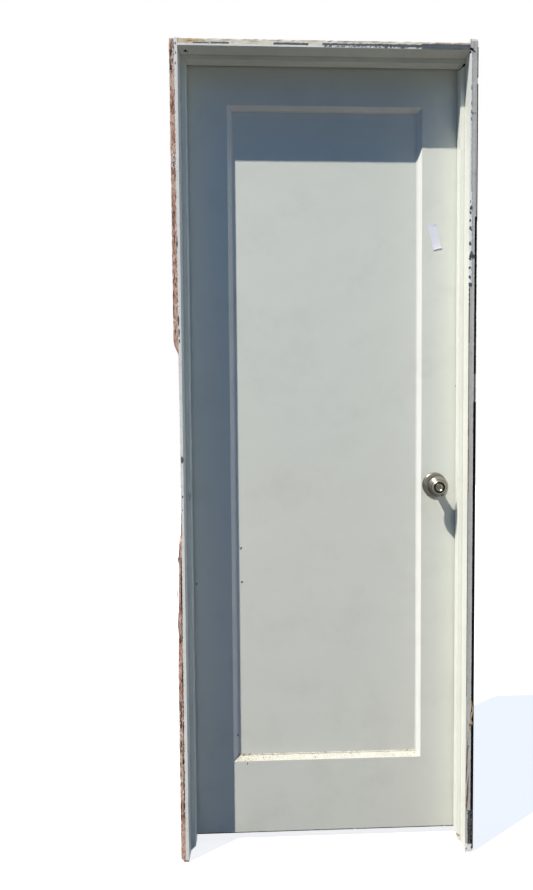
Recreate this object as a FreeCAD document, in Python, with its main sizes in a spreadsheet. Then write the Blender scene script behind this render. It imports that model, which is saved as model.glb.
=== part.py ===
# Interior door in its frame, hung on butt hinges, with a round privacy knob.
# Millimetres. X runs from the hinge jamb to the strike jamb, Y from the front edge of the
# frame (the stop side) to the back edge (the hinge side), Z up from the feet of the jambs.
# The origin is on the outer face of the hinge jamb, at mid depth, at its foot.
import FreeCAD, Part
import os
import re
import Sketcher

SIZES = {
    "door_width": 711.0,
    "door_height": 2032.0,
    "door_thick": 35.0,
    "side_gap": 5.0,
    "head_gap": 5.0,
    "floor_gap": 20.0,
    "jamb_thick": 20.6,
    "jamb_depth": 116.0,
    "head_thick": 17.5,
    "hinge_horn": 1.0,
    "strike_horn": 12.0,
    "housing_depth": 9.0,
    "housing_fit": 0.1,
    "ease": 0.8,
    "split_foot": 470.0,
    "split_step": 830.0,
    "split_shoulder": 1312.0,
    "split_top": 1336.0,
    "split_thin": 7.8,
    "split_thick": 13.4,
    "split_swell": 16.0,
    "split_depth": 95.0,
    "split_slope": 0.17,
    "split_reach": 14.0,
    "stop_thick": 12.0,
    "stop_depth": 30.0,
    "stop_gap": 5.0,
    "stop_chip": 12.0,
    "hinge_stile_width": 106.5,
    "lock_stile_width": 97.0,
    "edge_slope": 0.05,
    "top_rail_height": 102.0,
    "bottom_rail_height": 198.0,
    "panel_thick": 9.5,
    "groove_depth": 12.0,
    "groove_fit": 0.1,
    "panel_slack": 2.0,
    "tenon_slack": 1.0,
    "moulding_width": 13.4,
    "moulding_lip": 0.6,
    "moulding_fillet": 2.6,
    "moulding_step": 2.0,
    "moulding_ease": 0.8,
    "hinge_height": 89.0,
    "leaf_thick": 2.2,
    "leaf_width": 30.0,
    "leaf_corner": 6.0,
    "barrel_radius": 5.5,
    "barrel_back": 6.0,
    "pin_radius": 3.0,
    "pin_fit": 0.05,
    "pin_head_radius": 4.6,
    "pin_head_height": 2.4,
    "pin_head_bevel": 1.0,
    "knuckle_gap": 0.4,
    "top_hinge_drop": 178.0,
    "bottom_hinge_rise": 279.0,
    "knob_height": 964.0,
    "backset": 62.0,
    "cross_bore_radius": 27.0,
    "latch_bore_radius": 11.5,
    "latch_fit": 0.1,
    "plate_height": 57.0,
    "plate_width": 25.0,
    "plate_thick": 2.0,
    "bolt_width": 12.0,
    "bolt_height": 14.0,
    "bolt_length": 22.0,
    "bolt_proud": 1.5,
    "bolt_slant": 11.0,
    "strike_width": 30.0,
    "strike_lip": 4.2,
    "strike_curl": 3.2,
    "strike_thick": 1.6,
    "strike_hole_fit": 2.0,
    "pocket_depth": 10.0,
    "spindle_side": 7.6,
    "spindle_fit": 0.1,
    "spindle_reach": 26.0,
    "hub_radius": 6.0,
    "case_tail": 12.0,
    "shank_radius": 11.0,
    "shank_fit": 0.08,
    "shank_start": 2.0,
    "rose_radius": 32.5,
    "rose_rim": 2.5,
    "rose_height": 9.0,
    "rose_bevel": 4.0,
    "rose_lip": 3.0,
    "neck_height": 14.0,
    "waist_radius": 15.5,
    "waist_height": 27.0,
    "flare_radius": 25.4,
    "flare_height": 37.0,
    "rim_radius": 27.4,
    "rim_bevel": 2.4,
    "rim_height": 44.5,
    "face_height": 58.0,
    "face_round": 24.0,
    "cup_radius": 14.6,
    "cup_slope": 1.6,
    "cup_depth": 3.0,
    "cap_radius": 10.5,
    "cap_fit": 0.1,
    "cap_depth": 8.0,
    "cap_height": 10.5,
    "cap_recess_radius": 5.7,
    "cap_recess_depth": 2.0,
    "pinhole_radius": 1.0,
    "pinhole_depth": 3.0,
    "button_grip": 3.2,
    "button_rise": 7.0,
}

doc = FreeCAD.newDocument("interior_door")
sheet = doc.addObject("Spreadsheet::Sheet", "Sizes")
for row, (word, size) in enumerate(SIZES.items(), start=1):
    sheet.set(f"A{row}", word)
    sheet.set(f"B{row}", str(size))
    sheet.setAlias(f"B{row}", word)
doc.recompute()

V = FreeCAD.Vector
PARTS = []


def sized(text):
    """Turn size words into references to the sheet."""
    return re.sub(r"[a-z][a-z_]+", r"Sizes.\g<0>", text)


def bind(thing, **sizes):
    """Bind properties of an object to sums and products of sizes."""
    for name, text in sizes.items():
        thing.setExpression(name, sized(text))


def amount(text):
    """Work out a sum of products of sizes, for the first sketch of an outline."""
    total = 0.0
    for term in text.replace(" - ", " + -1 * ").split(" + "):
        product = 1.0
        for factor in term.split(" * "):
            product *= SIZES[factor] if factor in SIZES else float(factor)
        total += product
    return total


def minus(text):
    """The same sum of products with every sign turned over."""
    swapped = text.replace(" - ", " ~ ").replace(" + ", " - ").replace(" ~ ", " + ")
    return f"-1 * {swapped}"


def place(thing, at, along=None, across=None):
    """Put an object at a place, its Z turned to along and its Y to across."""
    if along is not None:
        x_way = across.cross(along)
        thing.Placement.Rotation = FreeCAD.Rotation(x_way, across, along, "ZYX")
    for axis, text in zip("xyz", at):
        thing.setExpression(f"Placement.Base.{axis}", sized(text))


def keep(thing, name):
    """Mark an object as a finished piece of the door."""
    thing.Label = name
    PARTS.append(thing)
    return thing


def box(name, size, at):
    """A plain block with its low corner at a place."""
    block = doc.addObject("Part::Box", name)
    bind(block, Length=size[0], Width=size[1], Height=size[2])
    place(block, at)
    return block


def cylinder(name, radius, height, at, along=V(0, 0, 1), across=V(0, 1, 0)):
    """A plain round bar starting at a place."""
    bar = doc.addObject("Part::Cylinder", name)
    bind(bar, Radius=radius, Height=height)
    place(bar, at, along, across)
    return bar


def joined(name, pieces):
    """One solid from pieces that meet."""
    whole = doc.addObject("Part::MultiFuse", name)
    whole.Shapes = pieces
    whole.Refine = True
    return whole


def without(name, base, tools):
    """A solid with recesses or holes taken out of it."""
    result = doc.addObject("Part::Cut", name)
    result.Base = base
    result.Tool = tools[0] if len(tools) == 1 else joined(f"{name}_tools", tools)
    return result


def outline(body, name, plane, loops):
    """Draw closed outlines on an origin plane of a body.

    Each point is (across, up), or (across, up, radius, bulge) where a round of that radius
    leads to it; the bulge is the part of the chord by which the first arc stands out."""
    sketch = body.newObject("Sketcher::SketchObject", name)
    for feature in body.Origin.OriginFeatures:
        if feature.Role == plane:
            sketch.AttachmentSupport = [(feature, "")]
    sketch.MapMode = "FlatFace"
    number = 0
    for loop in loops:
        spots = [V(amount(point[0]), amount(point[1]), 0) for point in loop]
        ends = []
        for i, point in enumerate(loop):
            a, b = spots[i - 1], spots[i]
            if len(point) == 4:
                chord = b - a
                middle = (a + b) * 0.5 + V(-chord.y, chord.x, 0) * point[3]
                line = sketch.addGeometry(Part.Arc(a, middle, b))
                first = 1 if sketch.getPoint(line, 1).distanceToPoint(a) < 1e-6 else 2
                index = sketch.addConstraint(Sketcher.Constraint("Radius", line, amount(point[2])))
                sketch.renameConstraint(index, f"round{number}")
                sketch.setExpression(f"Constraints.round{number}", sized(point[2]))
            else:
                line = sketch.addGeometry(Part.LineSegment(a, b))
                first = 1
            ends.append((line, first, 3 - first))
            number += 1
        for i, point in enumerate(loop):
            line, _, last = ends[i]
            follower, start, _ = ends[(i + 1) % len(loop)]
            sketch.addConstraint(Sketcher.Constraint("Coincident", line, last, follower, start))
            for kind, text, spot in (("X", point[0], spots[i].x), ("Y", point[1], spots[i].y)):
                index = sketch.addConstraint(
                    Sketcher.Constraint(f"Distance{kind}", -1, 1, line, last, spot))
                word = f"at{kind}{line}"
                sketch.renameConstraint(index, word)
                sketch.setExpression(f"Constraints.{word}", sized(text))
    return sketch


def padded(name, loops, length, plane="XY_Plane"):
    """A body made by raising an outline along the plane's normal."""
    body = doc.addObject("PartDesign::Body", name)
    pad = body.newObject("PartDesign::Pad", f"{name}_pad")
    pad.Profile = outline(body, f"{name}_outline", plane, loops)
    bind(pad, Length=length)
    return body


def turned(name, loop):
    """A body made by spinning an outline of (radius, height) points about its Z axis."""
    body = doc.addObject("PartDesign::Body", name)
    spin = body.newObject("PartDesign::Revolution", f"{name}_spin")
    sketch = outline(body, f"{name}_outline", "XZ_Plane", [loop])
    spin.Profile = sketch
    spin.ReferenceAxis = (sketch, ["V_Axis"])
    spin.Angle = 360
    return body


X, Y, Z = V(1, 0, 0), V(0, 1, 0), V(0, 0, 1)

# Places that several pieces share
FRONT_EDGE = "-0.5 * jamb_depth"
OPENING = "door_width + 2 * side_gap"
STRIKE_FACE = f"jamb_thick + {OPENING}"
DOOR_LEFT = "jamb_thick + side_gap"
DOOR_FRONT = "0.5 * jamb_depth - door_thick"
STOP_FRONT = f"{DOOR_FRONT} - stop_gap - stop_depth"
HEAD_UNDER = "floor_gap + door_height + head_gap"
STOP_UNDER = f"{HEAD_UNDER} - stop_thick"
PANEL_LEFT = f"{DOOR_LEFT} + hinge_stile_width"
PANEL_OPENING = "door_width - hinge_stile_width - lock_stile_width"
PANEL_BOTTOM = "floor_gap + bottom_rail_height"
PANEL_HEIGHT = "door_height - bottom_rail_height - top_rail_height"
RECESS = "0.5 * door_thick - 0.5 * panel_thick"
PANEL_FRONT = f"{DOOR_FRONT} + {RECESS}"
PIN_X = "jamb_thick + 0.5 * side_gap"
PIN_Y = "0.5 * jamb_depth + barrel_back"
LEAF_FRONT = "0.5 * jamb_depth - leaf_width"
LATCH_Y = f"{DOOR_FRONT} + 0.5 * door_thick"
LATCH_EDGE = f"{DOOR_LEFT} + door_width"
KNOB_X = f"{LATCH_EDGE} - backset"
HINGES = {
    "top": "floor_gap + door_height - top_hinge_drop - hinge_height",
    "middle": "floor_gap + 0.5 * door_height - 0.5 * hinge_height",
    "bottom": "floor_gap + bottom_hinge_rise",
}


# Frame: two side jambs, housed to take the ends of the head jamb
def eased(width, depth, sides):
    """Outline of a board whose arrises are taken off on the named X sides."""
    left = "ease" if "left" in sides else "0"
    right = "ease" if "right" in sides else "0"
    points = []
    if left == "ease":
        points += [("0", "ease"), ("ease", "0")]
    else:
        points += [("0", "0")]
    if right == "ease":
        points += [(f"{width} - ease", "0"), (width, "ease"),
                   (width, f"{depth} - ease"), (f"{width} - ease", depth)]
    else:
        points += [(width, "0"), (width, depth)]
    if left == "ease":
        points += [("ease", depth), ("0", f"{depth} - ease")]
    else:
        points += [("0", depth)]
    return points


def leaf_plate(name, left, foot):
    """The flat of a hinge leaf, with two rounded corners, and the recess that takes it."""
    plate = padded(name, [[
        ("leaf_corner", "0", "leaf_corner", -0.207), ("leaf_width", "0"),
        ("leaf_width", "hinge_height"), ("leaf_corner", "hinge_height"),
        ("0", "hinge_height - leaf_corner", "leaf_corner", -0.207), ("0", "leaf_corner")]],
        "leaf_thick", "YZ_Plane")
    place(plate, (left, LEAF_FRONT, foot))
    return plate


# The outer front corner of the hinge jamb split off with its casing: a long slab is missing,
# thickest at the front edge and running out to nothing on the outer face.
def missing_slab(name):
    """The missing wood, as a solid that reaches a little way out of the board."""
    slab = padded(name, [[
        ("-1 * split_reach", "split_foot"), ("0", "split_foot"), ("split_thin", "split_step"),
        ("split_thick", "split_step + split_reach"),
        ("split_swell", "0.5 * split_step + 0.5 * split_shoulder"),
        ("split_thick", "split_shoulder"), ("0", "split_top"),
        ("-1 * split_reach", "split_top")]], "split_depth + split_reach", "XZ_Plane")
    place(slab, ("-1 * split_slope * split_depth", f"{FRONT_EDGE} + split_depth", "0"),
          Z, V(-SIZES["split_slope"], 1, 0).normalize())
    return slab


HOUSING = ("housing_depth", "jamb_depth", "head_thick + 2 * housing_fit")
hinge_board = padded("hinge_board", [eased("jamb_thick", "jamb_depth", ["right"])],
                     f"{HEAD_UNDER} + head_thick + hinge_horn")
place(hinge_board, ("0", FRONT_EDGE, "0"))
hinge_recesses = [box("hinge_housing", HOUSING,
                      ("jamb_thick - housing_depth", FRONT_EDGE, f"{HEAD_UNDER} - housing_fit")),
                  missing_slab("split_off_slab")]
for level, foot in HINGES.items():
    hinge_recesses.append(leaf_plate(f"frame_gain_{level}", "jamb_thick - leaf_thick", foot))
keep(without("hinge_jamb", hinge_board, hinge_recesses), "hinge_jamb")

strike_board = padded("strike_board", [eased("jamb_thick", "jamb_depth", ["left"])],
                      f"{HEAD_UNDER} + head_thick + strike_horn")
place(strike_board, (STRIKE_FACE, FRONT_EDGE, "0"))
STRIKE_FRONT = "0.5 * jamb_depth - strike_width"
STRIKE_FOOT = "knob_height - 0.5 * plate_height"
POCKET_WIDTH = "bolt_width + 2 * strike_hole_fit"
POCKET_HEIGHT = "bolt_height + 2 * strike_hole_fit"
POCKET_AT = (f"{LATCH_Y} - 0.5 * bolt_width - strike_hole_fit",
             "knob_height - 0.5 * bolt_height - strike_hole_fit")
strike_recesses = [
    box("strike_housing", HOUSING, (STRIKE_FACE, FRONT_EDGE, f"{HEAD_UNDER} - housing_fit")),
    box("strike_gain", ("strike_thick", "strike_width", "plate_height"),
        (STRIKE_FACE, STRIKE_FRONT, STRIKE_FOOT)),
    box("latch_pocket", ("pocket_depth", POCKET_WIDTH, POCKET_HEIGHT), (STRIKE_FACE, *POCKET_AT)),
]
keep(without("strike_jamb", strike_board, strike_recesses), "strike_jamb")

# Head jamb, lying in the housings; its local Z runs along X and its local Y is up
head = padded("head_jamb", [[("0", "ease"), ("ease", "0"), ("jamb_depth - ease", "0"),
                             ("jamb_depth", "ease"), ("jamb_depth", "head_thick"),
                             ("0", "head_thick")]], f"{OPENING} + 2 * housing_depth")
place(head, ("jamb_thick - housing_depth", FRONT_EDGE, HEAD_UNDER), X, Z)
keep(head, "head_jamb")

# Stops: the head stop runs right across, and the side stops come up under it. The inner
# corner of each side stop is broken off at the foot.
side_stop_outline = {
    "hinge_side_stop": [("0", "0"), ("stop_thick - ease", "0"), ("stop_thick", "ease"),
                        ("stop_thick", "stop_depth - ease"), ("stop_thick - ease", "stop_depth"),
                        ("0", "stop_depth")],
    "strike_side_stop": [("0", "ease"), ("ease", "0"), ("stop_thick", "0"),
                         ("stop_thick", "stop_depth"), ("ease", "stop_depth"),
                         ("0", "stop_depth - ease")],
}
side_stop_left = {"hinge_side_stop": "jamb_thick", "strike_side_stop": f"{STRIKE_FACE} - stop_thick"}
side_stop_chip = {
    "hinge_side_stop": [("0", "0"), ("stop_thick", "0"), ("stop_thick", "stop_chip")],
    "strike_side_stop": [("0", "0"), ("stop_thick", "0"), ("0", "stop_chip")],
}
for name, points in side_stop_outline.items():
    strip = padded(f"{name}_strip", [points], STOP_UNDER)
    place(strip, (side_stop_left[name], STOP_FRONT, "0"))
    chip = padded(f"{name}_chip", [side_stop_chip[name]], "stop_depth", "XZ_Plane")
    place(chip, (side_stop_left[name], f"{STOP_FRONT} + stop_depth", "0"))
    keep(without(name, strip, [chip]), name)
head_stop = padded("head_stop", [[("0", "ease"), ("ease", "0"), ("stop_depth - ease", "0"),
                                  ("stop_depth", "ease"), ("stop_depth", "stop_thick"),
                                  ("0", "stop_thick")]], OPENING)
place(head_stop, ("jamb_thick", STOP_FRONT, STOP_UNDER), X, Z)
keep(head_stop, "head_stop")


# Hinges: five knuckles on a loose pin, three on the frame leaf and two on the door leaf
KNUCKLE_PITCH = "0.2 * hinge_height"


def hinge_leaf(name, level, left, knuckles):
    """A leaf let into the wood, with knuckles that go round the pin."""
    foot = HINGES[level]
    solids = [leaf_plate(f"{name}_plate", left, foot)]
    for number in knuckles:
        low = f"{foot} + {number} * {KNUCKLE_PITCH} + 0.5 * knuckle_gap"
        tall = f"{KNUCKLE_PITCH} - knuckle_gap"
        solids.append(box(f"{name}_tab_{number}", ("leaf_thick", "barrel_back", tall),
                          (left, "0.5 * jamb_depth", low)))
        solids.append(cylinder(f"{name}_knuckle_{number}", "barrel_radius", tall,
                               (PIN_X, PIN_Y, low)))
    bore = cylinder(f"{name}_bore", "pin_radius + pin_fit", "hinge_height", (PIN_X, PIN_Y, foot))
    return keep(without(name, joined(f"{name}_forged", solids), [bore]), name)


for level, foot in HINGES.items():
    hinge_leaf(f"frame_hinge_leaf_{level}", level, "jamb_thick - leaf_thick", (0, 2, 4))
    hinge_leaf(f"door_hinge_leaf_{level}", level, DOOR_LEFT, (1, 3))
    pin = turned(f"hinge_pin_{level}", [
        ("0", "0"), ("pin_radius", "0"), ("pin_radius", "hinge_height"),
        ("pin_head_radius", "hinge_height"),
        ("pin_head_radius", "hinge_height + pin_head_height - pin_head_bevel"),
        ("pin_head_radius - pin_head_bevel", "hinge_height + pin_head_height"),
        ("0", "hinge_height + pin_head_height")])
    place(pin, (PIN_X, PIN_Y, foot))
    keep(pin, f"hinge_pin_{level}")

# Strike plate, flush in the jamb, with a lip that curls round the jamb's back arris
strike_sheet = box("strike_sheet", ("strike_thick", "strike_width", "plate_height"),
                   (STRIKE_FACE, STRIKE_FRONT, STRIKE_FOOT))
strike_tongue = padded("strike_tongue", [[
    ("0", "0"), ("0", "strike_lip - strike_curl"),
    ("strike_curl", "strike_lip", "strike_curl", 0.207),
    ("strike_curl", "strike_lip - strike_thick"),
    ("strike_thick", "strike_lip - strike_curl", "strike_curl - strike_thick", -0.207),
    ("strike_thick", "0")]], "0.5 * plate_height")
place(strike_tongue, (STRIKE_FACE, "0.5 * jamb_depth", "knob_height - 0.25 * plate_height"))
strike_hole = box("strike_hole", ("strike_thick", POCKET_WIDTH, POCKET_HEIGHT),
                  (STRIKE_FACE, *POCKET_AT))
keep(without("strike_plate", joined("strike_blank", [strike_sheet, strike_tongue]),
             [strike_hole]), "strike_plate")

# Door: grooved stiles, rails with stub tenons in the groove, and a flat panel
GROOVE_FRONT = f"{RECESS} - groove_fit"
GROOVE_BACK = f"{RECESS} + panel_thick + groove_fit"
hinge_stile_board = padded("hinge_stile_board", [[
    ("ease", "0"), ("hinge_stile_width", "0"), ("hinge_stile_width", GROOVE_FRONT),
    ("hinge_stile_width - groove_depth", GROOVE_FRONT),
    ("hinge_stile_width - groove_depth", GROOVE_BACK), ("hinge_stile_width", GROOVE_BACK),
    ("hinge_stile_width", "door_thick"), ("ease", "door_thick"), ("0", "door_thick - ease"),
    ("0", "ease")]], "door_height")
place(hinge_stile_board, (DOOR_LEFT, DOOR_FRONT, "floor_gap"))
gains = [leaf_plate(f"door_gain_{level}", DOOR_LEFT, foot) for level, foot in HINGES.items()]
keep(without("hinge_stile", hinge_stile_board, gains), "hinge_stile")

lock_stile_board = padded("lock_stile_board", [[
    ("0", "0"), ("lock_stile_width - edge_slope * door_thick - ease", "0"),
    ("lock_stile_width - edge_slope * door_thick", "ease"),
    ("lock_stile_width", "door_thick - ease"), ("lock_stile_width - ease", "door_thick"),
    ("0", "door_thick"), ("0", GROOVE_BACK), ("groove_depth", GROOVE_BACK),
    ("groove_depth", GROOVE_FRONT), ("0", GROOVE_FRONT)]], "door_height")
place(lock_stile_board, (f"{LATCH_EDGE} - lock_stile_width", DOOR_FRONT, "floor_gap"))
cross_bore = cylinder("cross_bore", "cross_bore_radius", "door_thick",
                      (KNOB_X, DOOR_FRONT, "knob_height"), Y, V(0, 0, -1))
latch_bore = cylinder("latch_bore", "latch_bore_radius", "backset",
                      (KNOB_X, LATCH_Y, "knob_height"), X, Z)
FACE_X = f"{LATCH_EDGE} - 0.5 * edge_slope * door_thick"
FACE_FOOT = "knob_height - 0.5 * plate_height"
FACE_LEAN = "0.5 * edge_slope * plate_width"
FACE_OUTLINE = [(f"-1 * plate_thick - {FACE_LEAN}", "-0.5 * plate_width"),
                (f"-1 * {FACE_LEAN}", "-0.5 * plate_width"),
                (FACE_LEAN, "0.5 * plate_width"),
                (f"{FACE_LEAN} - plate_thick", "0.5 * plate_width")]
face_gain = padded("face_gain", [FACE_OUTLINE], "plate_height")
place(face_gain, (FACE_X, LATCH_Y, FACE_FOOT))
keep(without("lock_stile", lock_stile_board, [cross_bore, latch_bore, face_gain]), "lock_stile")


def rail(name, height, foot, groove_on_top):
    """A rail between the stiles, with a stub tenon at each end and a groove for the panel."""
    if groove_on_top:
        points = [("0", "0"), ("door_thick", "0"), ("door_thick", height), (GROOVE_BACK, height),
                  (GROOVE_BACK, f"{height} - groove_depth"),
                  (GROOVE_FRONT, f"{height} - groove_depth"), (GROOVE_FRONT, height), ("0", height)]
        tenon_foot = foot
    else:
        points = [("0", "0"), (GROOVE_FRONT, "0"), (GROOVE_FRONT, "groove_depth"),
                  (GROOVE_BACK, "groove_depth"), (GROOVE_BACK, "0"), ("door_thick", "0"),
                  ("door_thick", height), ("0", height)]
        tenon_foot = f"{foot} + groove_depth"
    board = padded(f"{name}_board", [points], PANEL_OPENING)
    place(board, (PANEL_LEFT, DOOR_FRONT, foot), X, Z)
    tenon = box(f"{name}_tenons",
                (f"{PANEL_OPENING} + 2 * groove_depth - 2 * tenon_slack", "panel_thick",
                 f"{height} - groove_depth"),
                (f"{PANEL_LEFT} - groove_depth + tenon_slack", PANEL_FRONT, tenon_foot))
    return keep(joined(name, [board, tenon]), name)


rail("bottom_rail", "bottom_rail_height", "floor_gap", True)
rail("top_rail", "top_rail_height", "floor_gap + door_height - top_rail_height", False)
PANEL_TONGUE = "groove_depth - panel_slack"
keep(box("panel", (f"{PANEL_OPENING} + 2 * ({PANEL_TONGUE})", "panel_thick",
                   f"{PANEL_HEIGHT} + 2 * ({PANEL_TONGUE})"),
         (f"{PANEL_LEFT} - ({PANEL_TONGUE})", PANEL_FRONT, f"{PANEL_BOTTOM} - ({PANEL_TONGUE})")),
     "panel")


# Panel moulding: a long slope with a small eased fillet at its foot, mitred at the corners
HALF_WIDTH = "0.5 * door_width - 0.5 * hinge_stile_width - 0.5 * lock_stile_width"
HALF_HEIGHT = "0.5 * door_height - 0.5 * bottom_rail_height - 0.5 * top_rail_height"
MIDDLE_X = f"{PANEL_LEFT} + {HALF_WIDTH}"
MIDDLE_Z = f"{PANEL_BOTTOM} + {HALF_HEIGHT}"


def moulding(name, half, at, inward, outward):
    """One strip; inward points from the stile to the panel, outward away from the panel."""
    body = doc.addObject("PartDesign::Body", name)
    strip = body.newObject("PartDesign::Pad", f"{name}_strip")
    strip.Profile = outline(body, f"{name}_outline", "YZ_Plane", [[
        ("0", "0"), ("moulding_width", "0"),
        ("moulding_width", "moulding_step - moulding_ease"),
        ("moulding_width - moulding_ease", "moulding_step"),
        ("moulding_width - moulding_fillet", "moulding_step"),
        ("moulding_lip", RECESS), ("0", RECESS)]])
    strip.SideType = "Symmetric"
    bind(strip, Length=f"2 * ({half})")
    mitre = body.newObject("PartDesign::Pocket", f"{name}_mitre")
    mitre.Profile = outline(body, f"{name}_corners", "XY_Plane", [
        [(half, "0"), (half, "moulding_width"), (f"{half} - moulding_width", "moulding_width")],
        [(minus(half), "0"), (f"{minus(half)} + moulding_width", "moulding_width"),
         (minus(half), "moulding_width")]])
    mitre.Type = "ThroughAll"
    mitre.SideType = "Symmetric"
    place(body, at, outward, inward)
    return keep(body, name)


for side, outward, level in (("front", V(0, -1, 0), PANEL_FRONT),
                             ("back", V(0, 1, 0), f"{PANEL_FRONT} + panel_thick")):
    moulding(f"{side}_sticking_left", HALF_HEIGHT, (PANEL_LEFT, level, MIDDLE_Z), X, outward)
    moulding(f"{side}_sticking_right", HALF_HEIGHT,
             (f"{PANEL_LEFT} + {PANEL_OPENING}", level, MIDDLE_Z), V(-1, 0, 0), outward)
    moulding(f"{side}_sticking_bottom", HALF_WIDTH, (MIDDLE_X, level, PANEL_BOTTOM), Z, outward)
    moulding(f"{side}_sticking_top", HALF_WIDTH,
             (MIDDLE_X, level, f"{PANEL_BOTTOM} + {PANEL_HEIGHT}"), V(0, 0, -1), outward)

# Latch: a case in the bore, its bolt held back by the knob, and a plate in the stile's edge
case = cylinder("case_tube", "latch_bore_radius - latch_fit",
                "case_tail + backset - edge_slope * door_thick - plate_thick",
                (f"{KNOB_X} - case_tail", LATCH_Y, "knob_height"), X, Z)
hub = cylinder("hub_hole", "hub_radius", "2 * latch_bore_radius",
               (KNOB_X, f"{LATCH_Y} - latch_bore_radius", "knob_height"), Y, V(0, 0, -1))
BOLT_BACK = f"{FACE_X} + bolt_proud - bolt_length"
BOLT_ROOM = ("bolt_length", "bolt_width + 2 * latch_fit", "bolt_height + 2 * latch_fit")
BOLT_AT = (BOLT_BACK, f"{LATCH_Y} - 0.5 * bolt_width - latch_fit",
           "knob_height - 0.5 * bolt_height - latch_fit")
keep(without("latch_case", case, [hub, box("case_slot", BOLT_ROOM, BOLT_AT)]), "latch_case")
face = padded("face_blank", [FACE_OUTLINE], "plate_height")
place(face, (FACE_X, LATCH_Y, FACE_FOOT))
keep(without("latch_faceplate", face, [box("face_slot", BOLT_ROOM, BOLT_AT)]), "latch_faceplate")
bolt = padded("latch_bolt", [[("0", "-0.5 * bolt_width"),
                              ("bolt_length - bolt_slant", "-0.5 * bolt_width"),
                              ("bolt_length", "0.5 * bolt_width"),
                              ("0", "0.5 * bolt_width")]], "bolt_height")
place(bolt, (BOLT_BACK, LATCH_Y, "knob_height - 0.5 * bolt_height"))
keep(bolt, "latch_bolt")

# Roses on both faces, and the knobs that turn in them on one square spindle
DOOR_BACK = f"{DOOR_FRONT} + door_thick"
ROSE_BORE = "shank_radius + shank_fit"
CAP_FLOOR = "face_height - cup_depth - cap_depth"
SPINDLE_LENGTH = "door_thick + 2 * spindle_reach"
SPINDLE_FRONT = f"{DOOR_FRONT} - spindle_reach"
keep(box("spindle", ("spindle_side", SPINDLE_LENGTH, "spindle_side"),
         (f"{KNOB_X} - 0.5 * spindle_side", SPINDLE_FRONT, "knob_height - 0.5 * spindle_side")),
     "spindle")
for side, outward, face_y in (("front", V(0, -1, 0), DOOR_FRONT), ("back", Y, DOOR_BACK)):
    seat = (KNOB_X, face_y, "knob_height")
    rose = turned(f"{side}_rose", [
        (ROSE_BORE, "0"), ("rose_radius", "0"), ("rose_radius", "rose_rim"),
        ("rose_radius - rose_bevel", "rose_rim + rose_bevel"),
        (f"{ROSE_BORE} + rose_lip", "rose_height"), (ROSE_BORE, "rose_height")])
    place(rose, seat, outward, Z)
    keep(rose, f"{side}_rose")
    grip = turned(f"{side}_grip", [
        ("0", "shank_start"), ("shank_radius", "shank_start"), ("shank_radius", "neck_height"),
        ("waist_radius", "waist_height"), ("flare_radius", "flare_height"),
        ("rim_radius", "flare_height + rim_bevel"), ("rim_radius", "rim_height - rim_bevel"),
        ("flare_radius", "rim_height"), ("cup_radius", "face_height", "face_round", -0.1),
        ("cup_radius - cup_slope", "face_height - cup_depth"),
        ("cap_radius + cap_fit", "face_height - cup_depth"),
        ("cap_radius + cap_fit", CAP_FLOOR), ("0", CAP_FLOOR)])
    place(grip, seat, outward, Z)
    hole = box(f"{side}_spindle_hole",
               ("spindle_side + 2 * spindle_fit", SPINDLE_LENGTH, "spindle_side + 2 * spindle_fit"),
               (f"{KNOB_X} - 0.5 * spindle_side - spindle_fit", SPINDLE_FRONT,
                "knob_height - 0.5 * spindle_side - spindle_fit"))
    keep(without(f"{side}_knob", grip, [hole]), f"{side}_knob")

release = turned("front_release_cap", [
    ("0", "0"), ("cap_radius", "0"), ("cap_radius", "cap_height"),
    ("cap_recess_radius", "cap_height"), ("cap_recess_radius", "cap_height - cap_recess_depth"),
    ("pinhole_radius", "cap_height - cap_recess_depth"),
    ("pinhole_radius", "cap_height - cap_recess_depth - pinhole_depth"),
    ("0", "cap_height - cap_recess_depth - pinhole_depth")])
place(release, (KNOB_X, f"{DOOR_FRONT} - ({CAP_FLOOR})", "knob_height"), V(0, -1, 0), Z)
keep(release, "front_release_cap")
button_disc = cylinder("button_disc", "cap_radius", "cap_depth",
                       (KNOB_X, f"{DOOR_BACK} + {CAP_FLOOR}", "knob_height"), Y, V(0, 0, -1))
button_blade = box("button_blade", ("button_grip", "button_rise", "1.6 * cap_radius"),
                   (f"{KNOB_X} - 0.5 * button_grip", f"{DOOR_BACK} + {CAP_FLOOR} + cap_depth",
                    "knob_height - 0.8 * cap_radius"))
keep(joined("back_turn_button", [button_disc, button_blade]), "back_turn_button")

# Check every object, then write each piece
doc.recompute()
for thing in doc.Objects:
    if "Invalid" in thing.State or "Error" in thing.State:
        raise RuntimeError(f"{thing.Name} did not build: {thing.State}")
os.makedirs("parts", exist_ok=True)
for thing in PARTS:
    shape = thing.Shape
    if shape.isNull() or not shape.isValid() or len(shape.Solids) != 1:
        raise RuntimeError(f"{thing.Label} is not one sound solid")
    shape.exportStep(f"parts/{thing.Label}.step")
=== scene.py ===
import math
import random

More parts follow.
